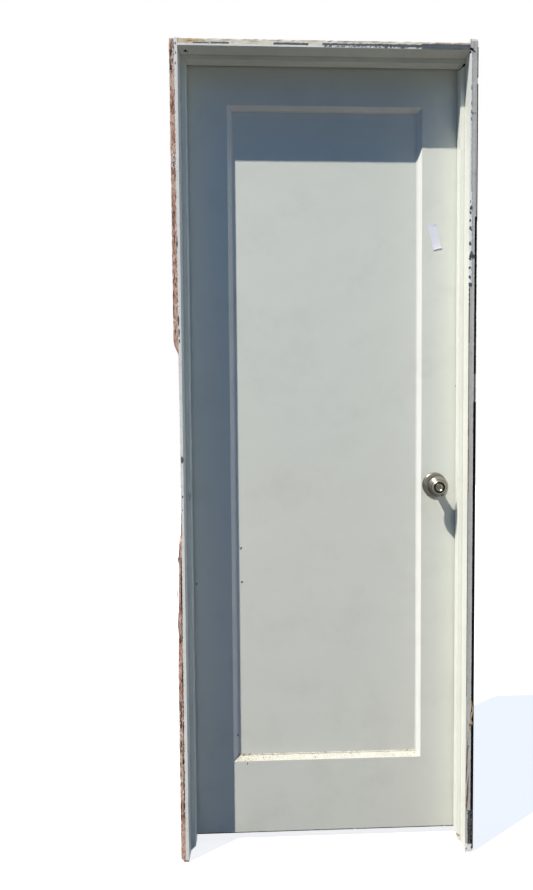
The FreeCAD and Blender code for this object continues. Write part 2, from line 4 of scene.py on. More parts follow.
import bpy
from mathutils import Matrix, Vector


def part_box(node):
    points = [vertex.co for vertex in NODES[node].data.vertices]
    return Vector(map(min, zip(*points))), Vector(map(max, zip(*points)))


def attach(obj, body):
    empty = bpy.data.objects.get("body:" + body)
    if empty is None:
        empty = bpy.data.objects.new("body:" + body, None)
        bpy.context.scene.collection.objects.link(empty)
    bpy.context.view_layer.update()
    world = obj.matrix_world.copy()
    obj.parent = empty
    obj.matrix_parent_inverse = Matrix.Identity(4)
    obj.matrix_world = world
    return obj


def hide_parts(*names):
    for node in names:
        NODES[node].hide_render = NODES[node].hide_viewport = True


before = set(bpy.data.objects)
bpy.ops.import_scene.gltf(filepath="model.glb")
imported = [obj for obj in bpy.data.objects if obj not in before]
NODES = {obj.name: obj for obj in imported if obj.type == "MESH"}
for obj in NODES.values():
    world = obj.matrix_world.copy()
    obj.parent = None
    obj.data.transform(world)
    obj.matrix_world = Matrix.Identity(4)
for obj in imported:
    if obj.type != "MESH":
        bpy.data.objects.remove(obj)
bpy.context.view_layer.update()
MM = 0.001

# Stiles and rails: softwood boards painted white with a brush, along their length. The
# enamel is semi-gloss and shows bristle lines, a few nibs and a thin film of dirt. Its
# corners and the gaps between parts are darkened with the dirt's grey as painted shade,
# and it is darker towards the floor. Real bristle lines are finer than these, too fine
# to show.
DOOR_WHITE, GRIME_AND_SHADE = "#E3E7DD", "#A9A498"
DARKER_UP_TO = 1.5


def linear(code):
    """An sRGB hex colour as the linear colour that shaders read."""
    parts = [int(code[i:i + 2], 16) / 255 for i in (1, 3, 5)]
    return [c / 12.92 if c <= 0.04045 else ((c + 0.055) / 1.055) ** 2.4 for c in parts] + [1]


def per_metre(size):
    """How often a pattern of a size in mm repeats in a metre, as the noise nodes want it."""
    return 1 / (size * MM)


def wire(tree, node, inputs):
    """Give each of a node's named inputs a value or another node's output."""
    for name, value in inputs.items():
        if isinstance(value, bpy.types.NodeSocket):
            tree.links.new(value, node.inputs[name])
        else:
            node.inputs[name].default_value = value


def add(tree, kind, inputs=None, **settings):
    """Add a node with its settings and its inputs."""
    made = tree.nodes.new(kind)
    for name, value in settings.items():
        setattr(made, name, value)
    wire(tree, made, inputs or {})
    return made


def new_finish(name):
    """Start a material; gives it, its node tree, its shader and its object coordinates."""
    material = bpy.data.materials.new(name)
    material.use_nodes = True
    tree = material.node_tree
    tree.nodes.clear()
    shader = add(tree, "ShaderNodeBsdfPrincipled")
    add(tree, "ShaderNodeOutputMaterial", {"Surface": shader.outputs[0]})
    return material, tree, shader, add(tree, "ShaderNodeTexCoord").outputs["Object"]


def spread(tree, factor, stops):
    """Colours or grey levels spread over a pattern's values."""
    made = add(tree, "ShaderNodeValToRGB", {0: factor})
    elements = made.color_ramp.elements
    for number, (place, shade) in enumerate(stops):
        element = elements[number] if number < 2 else elements.new(place)
        element.position = place
        element.color = linear(shade) if isinstance(shade, str) else (shade, shade, shade, 1)
    return made.outputs[0]


def dress(material, *nodes):
    """Give CAD nodes a material."""
    for name in nodes:
        NODES[name].material_slots[0].material = material


def enamel(name, white, stretch, pitch, depth, dirt=0.16, floor_darkening=0.0):
    """White enamel; stretch slows the pattern along the brush, pitch and depth are in mm,
    dirt and floor_darkening are the shares of the dirt grey in the film and at the floor; the
    same grey darkens corners and the gaps between parts as painted shade."""
    material, tree, shader, place = new_finish(name)
    brushed = add(tree, "ShaderNodeMapping", {0: place, "Scale": stretch}).outputs[0]
    bristles = add(tree, "ShaderNodeTexNoise", {
        "Vector": brushed, "Scale": per_metre(pitch), "Detail": 3.0, "Roughness": 0.6})
    waves = add(tree, "ShaderNodeTexNoise", {
        "Vector": place, "Scale": per_metre(90.9), "Detail": 2.0})
    nibs = add(tree, "ShaderNodeTexVoronoi", {"Vector": place, "Scale": per_metre(13.33)})
    specks = spread(tree, nibs.outputs["Distance"], [(0.04, 1.0), (0.09, 0.0)])
    film = add(tree, "ShaderNodeTexNoise", {
        "Vector": place, "Scale": per_metre(111), "Detail": 8.0, "Roughness": 0.65})
    smears = spread(tree, film.outputs[0], [(0.5, 0.0), (0.8, dirt)])
    # Painted shade: within 6 mm of a corner, a crease or another part the enamel is darkened
    # towards the dirt grey.
    joint = add(tree, "ShaderNodeAmbientOcclusion", {"Distance": 6 * MM}, samples=6)
    corners = spread(tree, joint.outputs["AO"], [(0.4, 0.6), (0.8, 0.0)])
    # Darker towards the floor, fading out DARKER_UP_TO m above it.
    height = add(tree, "ShaderNodeSeparateXYZ", {0: place}).outputs["Z"]
    towards_floor = add(tree, "ShaderNodeMapRange", {
        "Value": height, "From Max": DARKER_UP_TO, "To Min": floor_darkening, "To Max": 0.0})
    grime_and_shade = add(tree, "ShaderNodeMath", {0: smears, 1: corners}, operation="ADD")
    grime_and_shade = add(tree, "ShaderNodeMath", {0: grime_and_shade.outputs[0], 1: towards_floor.outputs[0]},
                operation="ADD")
    colour = add(tree, "ShaderNodeMix", {
        "Factor": grime_and_shade.outputs[0], "A": linear(white), "B": linear(GRIME_AND_SHADE)},
        data_type="RGBA").outputs["Result"]
    rough = add(tree, "ShaderNodeMapRange", {
        "Value": film.outputs[0], "To Min": 0.34, "To Max": 0.5}).outputs[0]
    relief = add(tree, "ShaderNodeBump", {"Height": waves.outputs[0], "Distance": 0.9 * MM})
    relief = add(tree, "ShaderNodeBump", {
        "Height": specks, "Distance": 0.15 * MM, "Normal": relief.outputs[0]})
    relief = add(tree, "ShaderNodeBump", {
        "Height": bristles.outputs[0], "Distance": depth * MM, "Normal": relief.outputs[0]})
    wire(tree, shader, {"Base Color": colour, "Roughness": rough, "Normal": relief.outputs[0]})
    return material


UPRIGHT, LEVEL = (1, 1, 0.03), (0.03, 1, 1)
FLOOR_DARKENING = 0.3
for run, stretch, boards in (("upright", UPRIGHT, ("hinge_stile", "lock_stile")),
                             ("level", LEVEL, ("top_rail", "bottom_rail"))):
    dress(enamel(f"enamel_brushed_{run}", DOOR_WHITE, stretch, pitch=1.6, depth=0.09,
                 floor_darkening=FLOOR_DARKENING), *boards)

# Panel: one flat board held in the grooves. A short-nap roller leaves a fine even stipple,
# laid off level, so it reads as faint level lines.
rolled = enamel("enamel_rolled", DOOR_WHITE, (0.35, 1, 1), pitch=2.2, depth=0.22, dirt=0.14,
                floor_darkening=FLOOR_DARKENING)
dress(rolled, "panel")

# Panel moulding: pine strips, mitred and pinned round the panel, under the same enamel. The
# bottom strip on the stop side has caught brown and cream dust, most at its left end, so it
# looks matt, gritty and darker there.
MOULDING_WHITE = "#E6E8E3"
for run, stretch, ends in (("upright", UPRIGHT, ("left", "right")),
                           ("level", LEVEL, ("top", "bottom"))):
    dress(enamel(f"enamel_on_moulding_{run}", MOULDING_WHITE, stretch, pitch=1.4, depth=0.08),
          *[f"{side}_sticking_{end}" for side in ("front", "back") for end in ends])
dusty, tree, shader, place = new_finish("enamel_under_dust")
DUSTIEST_AT, THINNEST_AT = 130, 400
along = add(tree, "ShaderNodeSeparateXYZ", {0: place}).outputs["X"]
cover = add(tree, "ShaderNodeMapRange", {
    "Value": along, "From Min": DUSTIEST_AT * MM, "From Max": THINNEST_AT * MM,
    "To Min": 0.49, "To Max": 0.43})
grit = add(tree, "ShaderNodeTexNoise", {
    "Vector": place, "Scale": per_metre(2.174), "Detail": 3.0, "Roughness": 0.6}).outputs[0]
brown = add(tree, "ShaderNodeMath", {0: grit, 1: cover.outputs[0]}, operation="LESS_THAN")
part = add(tree, "ShaderNodeMath", {0: brown.outputs[0], 1: 0.5}, operation="MULTIPLY")
tone = add(tree, "ShaderNodeTexNoise", {"Vector": place, "Scale": per_metre(16.67)}).outputs[0]
cream = spread(tree, tone, [(0.4, "#C1C0B1"), (0.6, "#C8C8BC")])
coated = add(tree, "ShaderNodeMix", {
    "Factor": part.outputs[0], "A": cream, "B": linear("#86765A")}, data_type="RGBA")
relief = add(tree, "ShaderNodeBump", {"Height": grit, "Distance": 0.4 * MM})
wire(tree, shader, {"Base Color": coated.outputs["Result"], "Roughness": 0.6,
                    "Normal": relief.outputs[0]})
dress(dusty, "front_sticking_bottom")


def only(piece):
    """Select one piece alone and make it the active one."""
    if bpy.context.object and bpy.context.object.mode == "EDIT":
        bpy.ops.object.mode_set(mode="OBJECT")
    bpy.ops.object.select_all(action="DESELECT")
    piece.select_set(True)
    bpy.context.view_layer.objects.active = piece


def pick(piece, test):
    """Go into edit mode with only the vertices selected whose places pass the test."""
    only(piece)
    bpy.ops.object.mode_set(mode="EDIT")
    bpy.ops.mesh.select_mode(type="VERT")
    bpy.ops.mesh.select_all(action="DESELECT")
    bpy.ops.object.mode_set(mode="OBJECT")
    for vertex in piece.data.vertices:
        vertex.select = test(vertex.co)
    bpy.ops.object.mode_set(mode="EDIT")


def settle(piece, place=(0, 0, 0), turn=(0, 0, 0), size=(1, 1, 1)):
    """Put a piece in its place, then write that place into its mesh."""
    only(piece)
    piece.location = place
    piece.rotation_euler = turn
    piece.scale = size
    bpy.ops.object.transform_apply(location=True, rotation=True, scale=True)


def twin(piece):
    """A copy of a piece with its own mesh, free of any parent."""
    copy = piece.copy()
    copy.data = piece.data.copy()
    copy.parent = None
    bpy.context.collection.objects.link(copy)
    return copy


def joined(pieces):
    """Join pieces into the first of them."""
    only(pieces[0])
    for piece in pieces:
        piece.select_set(True)
    bpy.ops.object.join()
    return pieces[0]


def finished(piece, name, material, body, slot, *replaced):
    """Name and dress a piece, hang it under its body's empty and hide the CAD nodes it
    replaces.
    """
    piece.name = name
    if material:
        piece.data.materials.clear()
        piece.data.materials.append(material)
    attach(piece, body)
    if replaced:
        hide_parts(*replaced)


# Crumbs: grit and old filler that have fallen on the bottom moulding, most of them near its
# left end. Some lie on the ledge at the panel's foot and some down the slope. They are matt,
# from brown to cream, so the strip looks dirty and uneven.
CRUMBS, CRUMB_RADIUS, ON_LEDGE, FROM_ENDS = 110, 0.8, 0.6, 12
crumb_finish, tree, shader, place = new_finish("dry_grit")
shade = add(tree, "ShaderNodeTexNoise", {"Vector": place, "Scale": per_metre(8.333)}).outputs[0]
shade = spread(tree, shade, [(0.38, "#6E4A30"), (0.52, "#A07A54"), (0.66, "#CFC2A8")])
wire(tree, shader, {"Base Color": shade, "Roughness": 0.9})
ledge_low, ledge_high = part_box("front_sticking_bottom")
bpy.ops.object.select_all(action="DESELECT")
bpy.ops.mesh.primitive_ico_sphere_add(subdivisions=1, radius=CRUMB_RADIUS * MM)
crumb = bpy.context.object
bpy.ops.object.mode_set(mode="EDIT")
bpy.ops.transform.vertex_random(offset=0.35 * MM, seed=3)
bpy.ops.object.mode_set(mode="OBJECT")
chance = random.Random(11)
crumbs = []
for _ in range(CRUMBS):
    copy = twin(crumb)
    if chance.random() < ON_LEDGE:
        back, down = chance.uniform(0.3, 1.8), -0.2
    else:
        slide = chance.random() ** 2
        back, down = 2 + 10 * slide, 2.4 + 9.3 * slide
    span = ledge_high.x - ledge_low.x - 2 * FROM_ENDS * MM
    x = ledge_low.x + FROM_ENDS * MM + span * chance.random() ** 2.4
    size = chance.uniform(0.7, 1.9)
    settle(copy, (x, ledge_high.y - back * MM, ledge_high.z - down * MM),
           [chance.uniform(0, 6.28) for axis in range(3)],
           [size * chance.uniform(0.6, 1.3) for axis in range(3)])
    crumbs.append(copy)
bpy.data.objects.remove(crumb)
finished(joined(crumbs), "dust_crumbs", crumb_finish, "door", "sticking_paint")


# Frame boards: pine, housed at the corners and painted on the faces that show. The casings
# have been prised off, so the front and back edges are rough and torn, the outer faces bare
# and dry, with a long straight grain drawn coarser than the real one.
def wood(name, shades, stretch, pitch, depth, rough=0.85):
    """Wood, or paint that has aged on it; stretch slows the grain along the board, pitch
    and depth are in mm."""
    material, tree, shader, place = new_finish(name)
    grain = add(tree, "ShaderNodeMapping", {0: place, "Scale": stretch}).outputs[0]
    fibre = add(tree, "ShaderNodeTexNoise", {
        "Vector": grain, "Scale": per_metre(pitch), "Detail": 7.0, "Roughness": 0.68,
        "Distortion": 0.4}).outputs[0]
    patch = add(tree, "ShaderNodeTexNoise", {
        "Vector": place, "Scale": per_metre(25), "Detail": 4.0, "Roughness": 0.6}).outputs[0]
    mixed = add(tree, "ShaderNodeMix", {"Factor": 0.3, "A": fibre, "B": patch}).outputs[0]
    relief = add(tree, "ShaderNodeBump", {"Height": fibre, "Distance": depth * MM})
    wire(tree, shader, {"Base Color": spread(tree, mixed, shades), "Roughness": rough,
                        "Normal": relief.outputs[0]})
    return material


# The frame's enamel is a little whiter and more thickly brushed than the door's.
FRAME_WHITE = "#E4E7DF"
jamb_enamel = enamel("enamel_on_jambs", FRAME_WHITE, UPRIGHT, pitch=1.8, depth=0.12)
head_enamel = enamel("enamel_on_head", FRAME_WHITE, LEVEL, pitch=1.8, depth=0.12)
PINE = [(0.36, "#9C7B55"), (0.47, "#C4A477"), (0.56, "#D6BC92"), (0.66, "#B08E63")]
bare_upright = wood("planed_pine_upright", PINE, (1, 1, 0.02), 3.0, 0.15)
bare_level = wood("planed_pine_level", PINE, (0.02, 1, 1), 3.0, 0.15)
# Split edges: coarse and matt. The hinge jamb's is stained red brown between pale splinters,
# the head's is cream in the middle and tan at its ends, and the strike jamb's is grey paint.
split_pine = wood("split_stained_pine", [
    (0.36, "#481F17"), (0.43, "#A06C54"), (0.5, "#CFA48C"), (0.57, "#EDDACA"),
    (0.66, "#A46A54")], (1, 1, 0.25), 1.8, 1.2)
cream_pine = wood("split_cream_pine", [
    (0.4, "#D8C6A6"), (0.5, "#EFE8D4"), (0.58, "#F3EFE1"), (0.66, "#DCCDB0")],
    (0.15, 1, 1), 3.0, 0.5)
tan_pine = wood("split_tan_pine", [
    (0.4, "#B99468"), (0.5, "#DCC7A6"), (0.58, "#E6D6BA"), (0.66, "#CFA87A")],
    (0.15, 1, 1), 3.0, 0.5)
grey_paint = wood("worn_grey_paint", [
    (0.36, "#A1A29C"), (0.44, "#BCBDB7"), (0.58, "#C6C7C1"), (0.68, "#ACACA6")],
    (1, 1, 0.12), 2.2, 0.15, 0.6)

FRONT, BACK = -0.058, 0.058
LEFT, LEFT_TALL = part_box("hinge_jamb")[1].x / MM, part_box("hinge_jamb")[1].z / MM
RIGHT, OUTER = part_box("strike_jamb")[0].x / MM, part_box("strike_jamb")[1].x / MM
TALL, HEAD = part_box("strike_jamb")[1].z / MM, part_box("head_jamb")[0].z / MM
STOP_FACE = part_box("head_stop")[0].y / MM
DOOR_FRONT, DOOR_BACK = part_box("lock_stile")[0].y / MM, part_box("lock_stile")[1].y / MM
TORN_BACK, SLICE = 1.1, 9


def merged(node):
    """A copy of a CAD node with its loose triangles welded and its flat faces made whole."""
    piece = twin(NODES[node])
    only(piece)
    bpy.ops.mesh.customdata_custom_splitnormals_clear()
    bpy.ops.object.mode_set(mode="EDIT")
    bpy.ops.mesh.select_all(action="SELECT")
    bpy.ops.mesh.remove_doubles(threshold=0.01 * MM)
    bpy.ops.mesh.dissolve_limited(angle_limit=math.radians(1))
    bpy.ops.object.mode_set(mode="OBJECT")
    return piece


def sliced(piece, axis, places):
    """Cut a board through at places along an axis, in mm."""
    only(piece)
    bpy.ops.object.mode_set(mode="EDIT")
    for place in places:
        bpy.ops.mesh.select_all(action="SELECT")
        spot = [0, 0, 0]
        spot[axis] = place * MM
        bpy.ops.mesh.bisect(plane_co=spot, plane_no=[float(way == axis) for way in range(3)])
    bpy.ops.object.mode_set(mode="OBJECT")


def knocked(piece, test, shift, scatter, seed):
    """Move the picked vertices of a piece by a shift in mm, then each a little by chance."""
    pick(piece, lambda spot: test(spot.x / MM, spot.y / MM, spot.z / MM))
    bpy.ops.transform.translate(value=[part * MM for part in shift])
    bpy.ops.transform.vertex_random(offset=scatter * MM, seed=seed)
    bpy.ops.object.mode_set(mode="OBJECT")


def surfaced(piece, materials, choose):
    """Give each face of a board the material that its place and direction call for."""
    piece.data.materials.clear()
    for material in materials:
        piece.data.materials.append(material)
    for face in piece.data.polygons:
        face.material_index = choose(face.center / MM, face.normal)


# Each board is cut across every few mm, its front edge is set back, then its arrises and
# ends are knocked about. NEAR and TORN are just behind the edge, before and after that.
NEAR = FRONT / MM + 0.2
TORN = NEAR + TORN_BACK
AT_EDGE = BACK / MM - 0.5
left_board = merged("hinge_jamb")
sliced(left_board, 2, range(SLICE, int(LEFT_TALL) - 5, SLICE))
sliced(left_board, 0, (4, 8, LEFT - 6.0))
surfaced(left_board, (jamb_enamel, bare_upright, split_pine), lambda spot, way:
         2 if abs(spot.y) > AT_EDGE or (way.x < -0.5 and way.y < -0.05) else
         1 if way.x < -0.5 or abs(way.z) > 0.5 else 0)
knocked(left_board, lambda x, y, z: y < NEAR, (0, TORN_BACK, 0), 0, 4)
knocked(left_board, lambda x, y, z: y < TORN and x < 0.5, (0.8, 0, 0), 0.9, 6)
knocked(left_board, lambda x, y, z: y < TORN + 1 and 1.5 < x < LEFT - 5, (0, 0, 0), 0.6, 5)
knocked(left_board, lambda x, y, z: z < 1 and x < 5 and y < 0, (0, 1, 7), 1.5, 7)
knocked(left_board, lambda x, y, z: z > LEFT_TALL - 1.5 and y < NEAR + 3, (0, 1, -2), 1.2, 8)
finished(left_board, "hinge_jamb_board", None, "frame", "jamb_paint", "hinge_jamb")

right_board = merged("strike_jamb")
sliced(right_board, 2, range(SLICE, int(TALL) - 5, SLICE))
sliced(right_board, 0, (RIGHT + 5, RIGHT + 10, OUTER - 5))
surfaced(right_board, (jamb_enamel, bare_upright, grey_paint, split_pine), lambda spot, way:
         2 if way.y < -0.8 and spot.y < -AT_EDGE else 3 if way.y > 0.8 and spot.y > AT_EDGE
         else 1 if way.x > 0.5 or abs(way.z) > 0.5 else 0)
knocked(right_board, lambda x, y, z: y < NEAR, (0, TORN_BACK, 0), 0, 14)
knocked(right_board, lambda x, y, z: y < TORN and x > OUTER - 0.5, (-0.7, 0, 0), 0.6, 15)
knocked(right_board, lambda x, y, z: y < TORN and RIGHT + 4 < x < OUTER - 2, (0, 0, 0), 0.3,
        16)
knocked(right_board, lambda x, y, z: z < 1 and y < 0 and x > RIGHT + 4, (0, 2, 3.5), 2.8, 17)
knocked(right_board, lambda x, y, z: z > TALL - 1 and y < NEAR + 3, (0, 1.5, -2), 1.6, 18)
finished(right_board, "strike_jamb_board", None, "frame", "jamb_paint", "strike_jamb")

CREAM_FROM, CREAM_TO = 90, 650
head_board = merged("head_jamb")
sliced(head_board, 0, range(15, 740, SLICE))
sliced(head_board, 2, (HEAD + 4, HEAD + 8.5, HEAD + 13))
surfaced(head_board, (head_enamel, bare_level, cream_pine, tan_pine), lambda spot, way:
         (2 if CREAM_FROM < spot.x < CREAM_TO else 3)
         if abs(way.y) > 0.8 and abs(spot.y) > AT_EDGE else
         1 if way.z > 0.5 or abs(way.x) > 0.5 else 0)
knocked(head_board, lambda x, y, z: y < NEAR, (0, TORN_BACK, 0), 0, 24)
knocked(head_board, lambda x, y, z: y < TORN and z > HEAD + 3.5, (0, 0, 0), 0.5, 25)
knocked(head_board, lambda x, y, z: y < NEAR + 2 and z > HEAD + 17, (0, 0, -0.8), 0.8, 26)
finished(head_board, "head_jamb_board", None, "frame", "jamb_paint", "head_jamb")

# Stops: planted pine strips, nailed to the frame and painted with it, along their length.
# The side stops run up to the underside of the head's.
dress(jamb_enamel, "hinge_side_stop", "strike_side_stop")
dress(head_enamel, "head_stop")

# Paint left on the front edges when the casings came off: thick old enamel torn along the
# caulk line, dark slate that paints the shadow under its lifted edge, and black that paints
# the shadow along the outer arris. All of it is dry and brittle, so each finish is matt and
# cloudy, with little or no grain.
torn_enamel = wood("torn_old_enamel", [
    (0.36, "#DAD8CE"), (0.46, "#ECEEE9"), (0.62, "#F0F2ED")], (1, 1, 1), 5.0, 0.25, 0.5)
# Painted shadow: this dark slate stands for the shadow that lifted, torn paint casts on the
# edges.
shadow_slate = wood("painted_shadow_slate", [
    (0.38, "#3B424A"), (0.5, "#4B535B"), (0.64, "#5E666E")], (1, 1, 1), 4.0, 0.3, 0.6)
# Painted shadow: this black stands for the deep shadow along the strike jamb's outer arris and
# inside a crack and a nail hole.
black_finish = wood("black_flakes", [
    (0.38, "#040403"), (0.55, "#090807"), (0.68, "#1A1512")], (1, 1, 0.3), 4.0, 0.5, 0.9)
wire(black_finish.node_tree, black_finish.node_tree.nodes["Principled BSDF"], {"Specular IOR Level": 0.1})
# Under and between the paint: dark red brown flakes that paint the shade in open splits and
# nail holes, a foot gone grey with damp, bruised and freshly broken wood, and two fillers gone
# dull with dust.
split_shade = wood("painted_split_shade", [
    (0.38, "#2E1A14"), (0.5, "#4A2C22"), (0.64, "#6E4536")], (1, 1, 0.2), 3.0, 0.5)
foot_grey = wood("damp_grey_foot", [
    (0.38, "#2E2F30"), (0.5, "#454647"), (0.64, "#6C6C6A")], (1, 1, 0.4), 4.0, 0.6)
fresh_enamel = wood("fresh_torn_enamel", [
    (0.36, "#EEEEEA"), (0.46, "#F9F9F6"), (0.62, "#FBFBF9")], (1, 1, 1), 5.0, 0.25, 0.5)
bruised = wood("bruised_brown_wood", [
    (0.38, "#5A3A30"), (0.5, "#7E594A"), (0.64, "#A58975")], (1, 1, 0.2), 3.0, 0.5)
tan_wood = wood("fresh_tan_wood", [
    (0.38, "#7B6041"), (0.5, "#B79C78"), (0.64, "#D3C09A")], (1, 1, 0.3), 3.0, 0.6)
dull_brown = wood("dull_brown_flakes", [
    (0.38, "#37342E"), (0.5, "#4E4A43"), (0.64, "#6B665C")], (1, 1, 0.3), 3.0, 0.5)
pale_grey = wood("pale_grey_filler", [
    (0.38, "#B9B9B3"), (0.5, "#CACAC4"), (0.64, "#D4D4CE")], (1, 1, 0.3), 3.0, 0.3, 0.6)


SHEET_GRID = 2.5


def torn_sheet(left, right, low, high, torn, tear=2.0, thick=0.7, level=0.3):
    """A sheet of old paint on the front edges, in mm, ragged on the sides named in torn. Its
    outer face lies a level behind the line of the front edges."""
    width, height = right - left, high - low
    bpy.ops.object.select_all(action="DESELECT")
    bpy.ops.mesh.primitive_grid_add(x_subdivisions=max(3, int(width / SHEET_GRID)),
                                    y_subdivisions=max(3, int(height / SHEET_GRID)), size=1)
    piece = bpy.context.object
    settle(piece, size=(width * MM, height * MM, 1))
    middle = (left + width / 2, FRONT / MM + level + thick, low + height / 2)
    settle(piece, [part * MM for part in middle], (math.pi / 2, 0, 0))
    edges = {"left": (0, -1, left), "right": (0, 1, right), "low": (2, -1, low),
             "high": (2, 1, high)}
    for side in torn.split():
        axis, sign, edge = edges[side]
        reach = (width if axis == 0 else height) * MM
        group = piece.vertex_groups.new(name=side)
        for vertex in piece.data.vertices:
            near = 1 - abs(vertex.co[axis] - edge * MM) / min(reach, 3 * tear * MM)
            if near > 0:
                group.add([vertex.index], near, "REPLACE")
        clouds = bpy.data.textures.new(side, "CLOUDS")
        clouds.noise_scale = 2.2 * tear * MM
        clouds.noise_depth = 4
        tearing = piece.modifiers.new(side, "DISPLACE")
        tearing.texture = clouds
        tearing.direction = "XYZ"[axis]
        tearing.strength = 2.6 * tear * MM * sign
        tearing.mid_level = 0.7
        tearing.vertex_group = side
        bpy.ops.object.modifier_apply(modifier=side)
    lumps = bpy.data.textures.new("lumps", "CLOUDS")
    lumps.noise_scale = 5 * MM
    curl = piece.modifiers.new("curl", "DISPLACE")
    curl.texture = lumps
    curl.direction = "Y"
    curl.strength = -0.4 * MM
    bpy.ops.object.modifier_apply(modifier="curl")
    wall = piece.modifiers.new("wall", "SOLIDIFY")
    wall.thickness = thick * MM
    wall.offset = 1
    bpy.ops.object.modifier_apply(modifier="wall")
    return piece


FACING = {"front": (math.pi / 2, 0, 0), "down": (math.pi, 0, 0), "right": (0, math.pi / 2, 0)}


def chip(place, wide, tall, seed, lift=0.4, lean=0.0, facing="front"):
    """One small irregular flake, in mm: its place, size, rise and lean on its surface."""
    bpy.ops.object.select_all(action="DESELECT")
    bpy.ops.mesh.primitive_circle_add(vertices=9, radius=0.5, fill_type="NGON")
    piece = bpy.context.object
    bpy.ops.object.mode_set(mode="EDIT")
    bpy.ops.transform.vertex_random(offset=0.22, seed=seed)
    bpy.ops.transform.resize(value=(1, 1, 0), center_override=(0, 0, 0))
    bpy.ops.mesh.extrude_region_move(TRANSFORM_OT_translate={"value": (0, 0, 1)})
    bpy.ops.transform.resize(value=(0.8, 0.8, 1), center_override=(0, 0, 1))
    bpy.ops.mesh.select_all(action="SELECT")
    bpy.ops.mesh.normals_make_consistent(inside=False)
    bpy.ops.object.mode_set(mode="OBJECT")
    settle(piece, size=(wide * MM, tall * MM, lift * MM))
    settle(piece, turn=(0, 0, -lean))
    settle(piece, [part * MM for part in place], FACING[facing])
    return piece


def edge_chips(spots, seed, lift, level=TORN_BACK):
    """Chips on the front edges from (x, z, wide, tall, lean), a level behind their line."""
    return [chip((x, FRONT / MM + level, z), wide, tall, seed + number, lift, lean)
            for number, (x, z, wide, tall, lean) in enumerate(spots)]


def on_jambs(pieces, name, material):
    """Join what is left on the jambs' edges into one piece that stays with the frame."""
    finished(joined(pieces), name, material, "frame", "jamb_paint")


def strewn(count, seed, x_span, z_span, wide, tall):
    """Places and sizes of chips strewn by chance over part of an edge."""
    chance = random.Random(seed)
    return [(chance.uniform(*x_span), chance.uniform(*z_span), chance.uniform(*wide),
             chance.uniform(*tall), chance.uniform(-0.03, 0.03)) for _ in range(count)]


on_jambs([
    torn_sheet(LEFT - 8.6, LEFT, 1316, 2074.6, "left low", 2.0),
    torn_sheet(LEFT - 7.6, LEFT, 836, 1324, "left low high", 1.0, 0.6),
    torn_sheet(LEFT - 7.6, LEFT, 600, 842, "left low", 1.2),
    torn_sheet(LEFT - 8.6, LEFT, 5, 640, "left low", 1.4),
], "hinge_jamb_torn_enamel", torn_enamel)
on_jambs([
    torn_sheet(LEFT, 528, HEAD, HEAD + 5.2, "high", 1.0, 0.7),
    torn_sheet(535, 568, HEAD, HEAD + 4.4, "high left right", 1.0, 0.7),
    torn_sheet(576, 622, HEAD, HEAD + 4.0, "high left right", 1.0, 0.7),
], "head_jamb_torn_enamel", torn_enamel)
# Painted shadow: dark slate strips above the head's torn lip and dark nicks on the hinge jamb's
# edge.
on_jambs([
    torn_sheet(58, 98, HEAD + 4.4, HEAD + 8.2, "high left right", 0.6, 0.4),
    torn_sheet(101, 146, HEAD + 4.4, HEAD + 9.0, "high left right", 0.6, 0.4),
    torn_sheet(254, 340, HEAD + 4.0, HEAD + 10.0, "high left right", 0.8, 0.4),
    torn_sheet(374, 642, HEAD + 0.8, HEAD + 11.0, "high left", 1.6, 0.4),
    torn_sheet(620, RIGHT, HEAD + 0.1, HEAD + 13.2, "high left", 1.2, 0.4, 0.25),
    *edge_chips(((LEFT - 2.6, 1044, 8, 22, 0), (LEFT - 4.5, 2061, 3.5, 8, 0),
                 (LEFT - 3.8, 2039, 3, 7, 0), (LEFT - 7.0, 1583, 3.4, 30, 0),
                 (LEFT - 6.4, 1392, 3.6, 28, 0), (LEFT - 5.2, 1362, 3.4, 24, 0),
                 (LEFT - 5.0, 1340, 3.0, 12, 0), (LEFT - 4.6, 2014, 2.6, 8, 0)),
                seed=31, lift=0.5, level=0.5),
], "torn_edge_painted_shadow", shadow_slate)
flecks = (strewn(26, 5, (3, 12), (128, 412), (1.4, 3.2), (3, 8))
          + strewn(26, 6, (5, 13), (1985, 2072), (1.2, 3.0), (2, 6))
          + strewn(14, 7, (3, 12), (1762, 1822), (1.4, 3.4), (3, 7))
          + strewn(8, 8, (6, 12), (1340, 1760), (1.0, 2.0), (3, 7)))
on_jambs(edge_chips(flecks, seed=80, lift=0.7), "hinge_jamb_paint_flecks", torn_enamel)
# Painted shade: dark red brown flakes stand for the shade inside open splits and nail holes.
splits = (strewn(14, 9, (1.5, 9), (1985, 2068), (1.2, 2.2), (8, 22))
          + strewn(24, 10, (1.5, 10), (1345, 1985), (1.0, 1.8), (10, 34))
          + strewn(16, 11, (LEFT - 9, LEFT - 6.5), (1340, 2060), (1.2, 2.0), (4, 16))
          + strewn(26, 12, (1.5, 13), (110, 830), (1.2, 2.4), (14, 50))
          + strewn(40, 13, (LEFT - 9.8, LEFT - 8.2), (110, 830), (1.8, 2.8), (30, 80)))
holes = ((LEFT - 3.0, 950, 4.0, 8, 0.3), (LEFT - 3.2, 917, 2.0, 5, 0),
         (LEFT - 6.0, 896, 1.6, 30, 0), (LEFT - 6.6, 866, 2.4, 40, 0))
on_jambs(edge_chips(splits, seed=130, lift=0.6)
         + edge_chips(holes, seed=190, lift=0.5, level=0.6),
         "hinge_jamb_split_shade", split_shade)
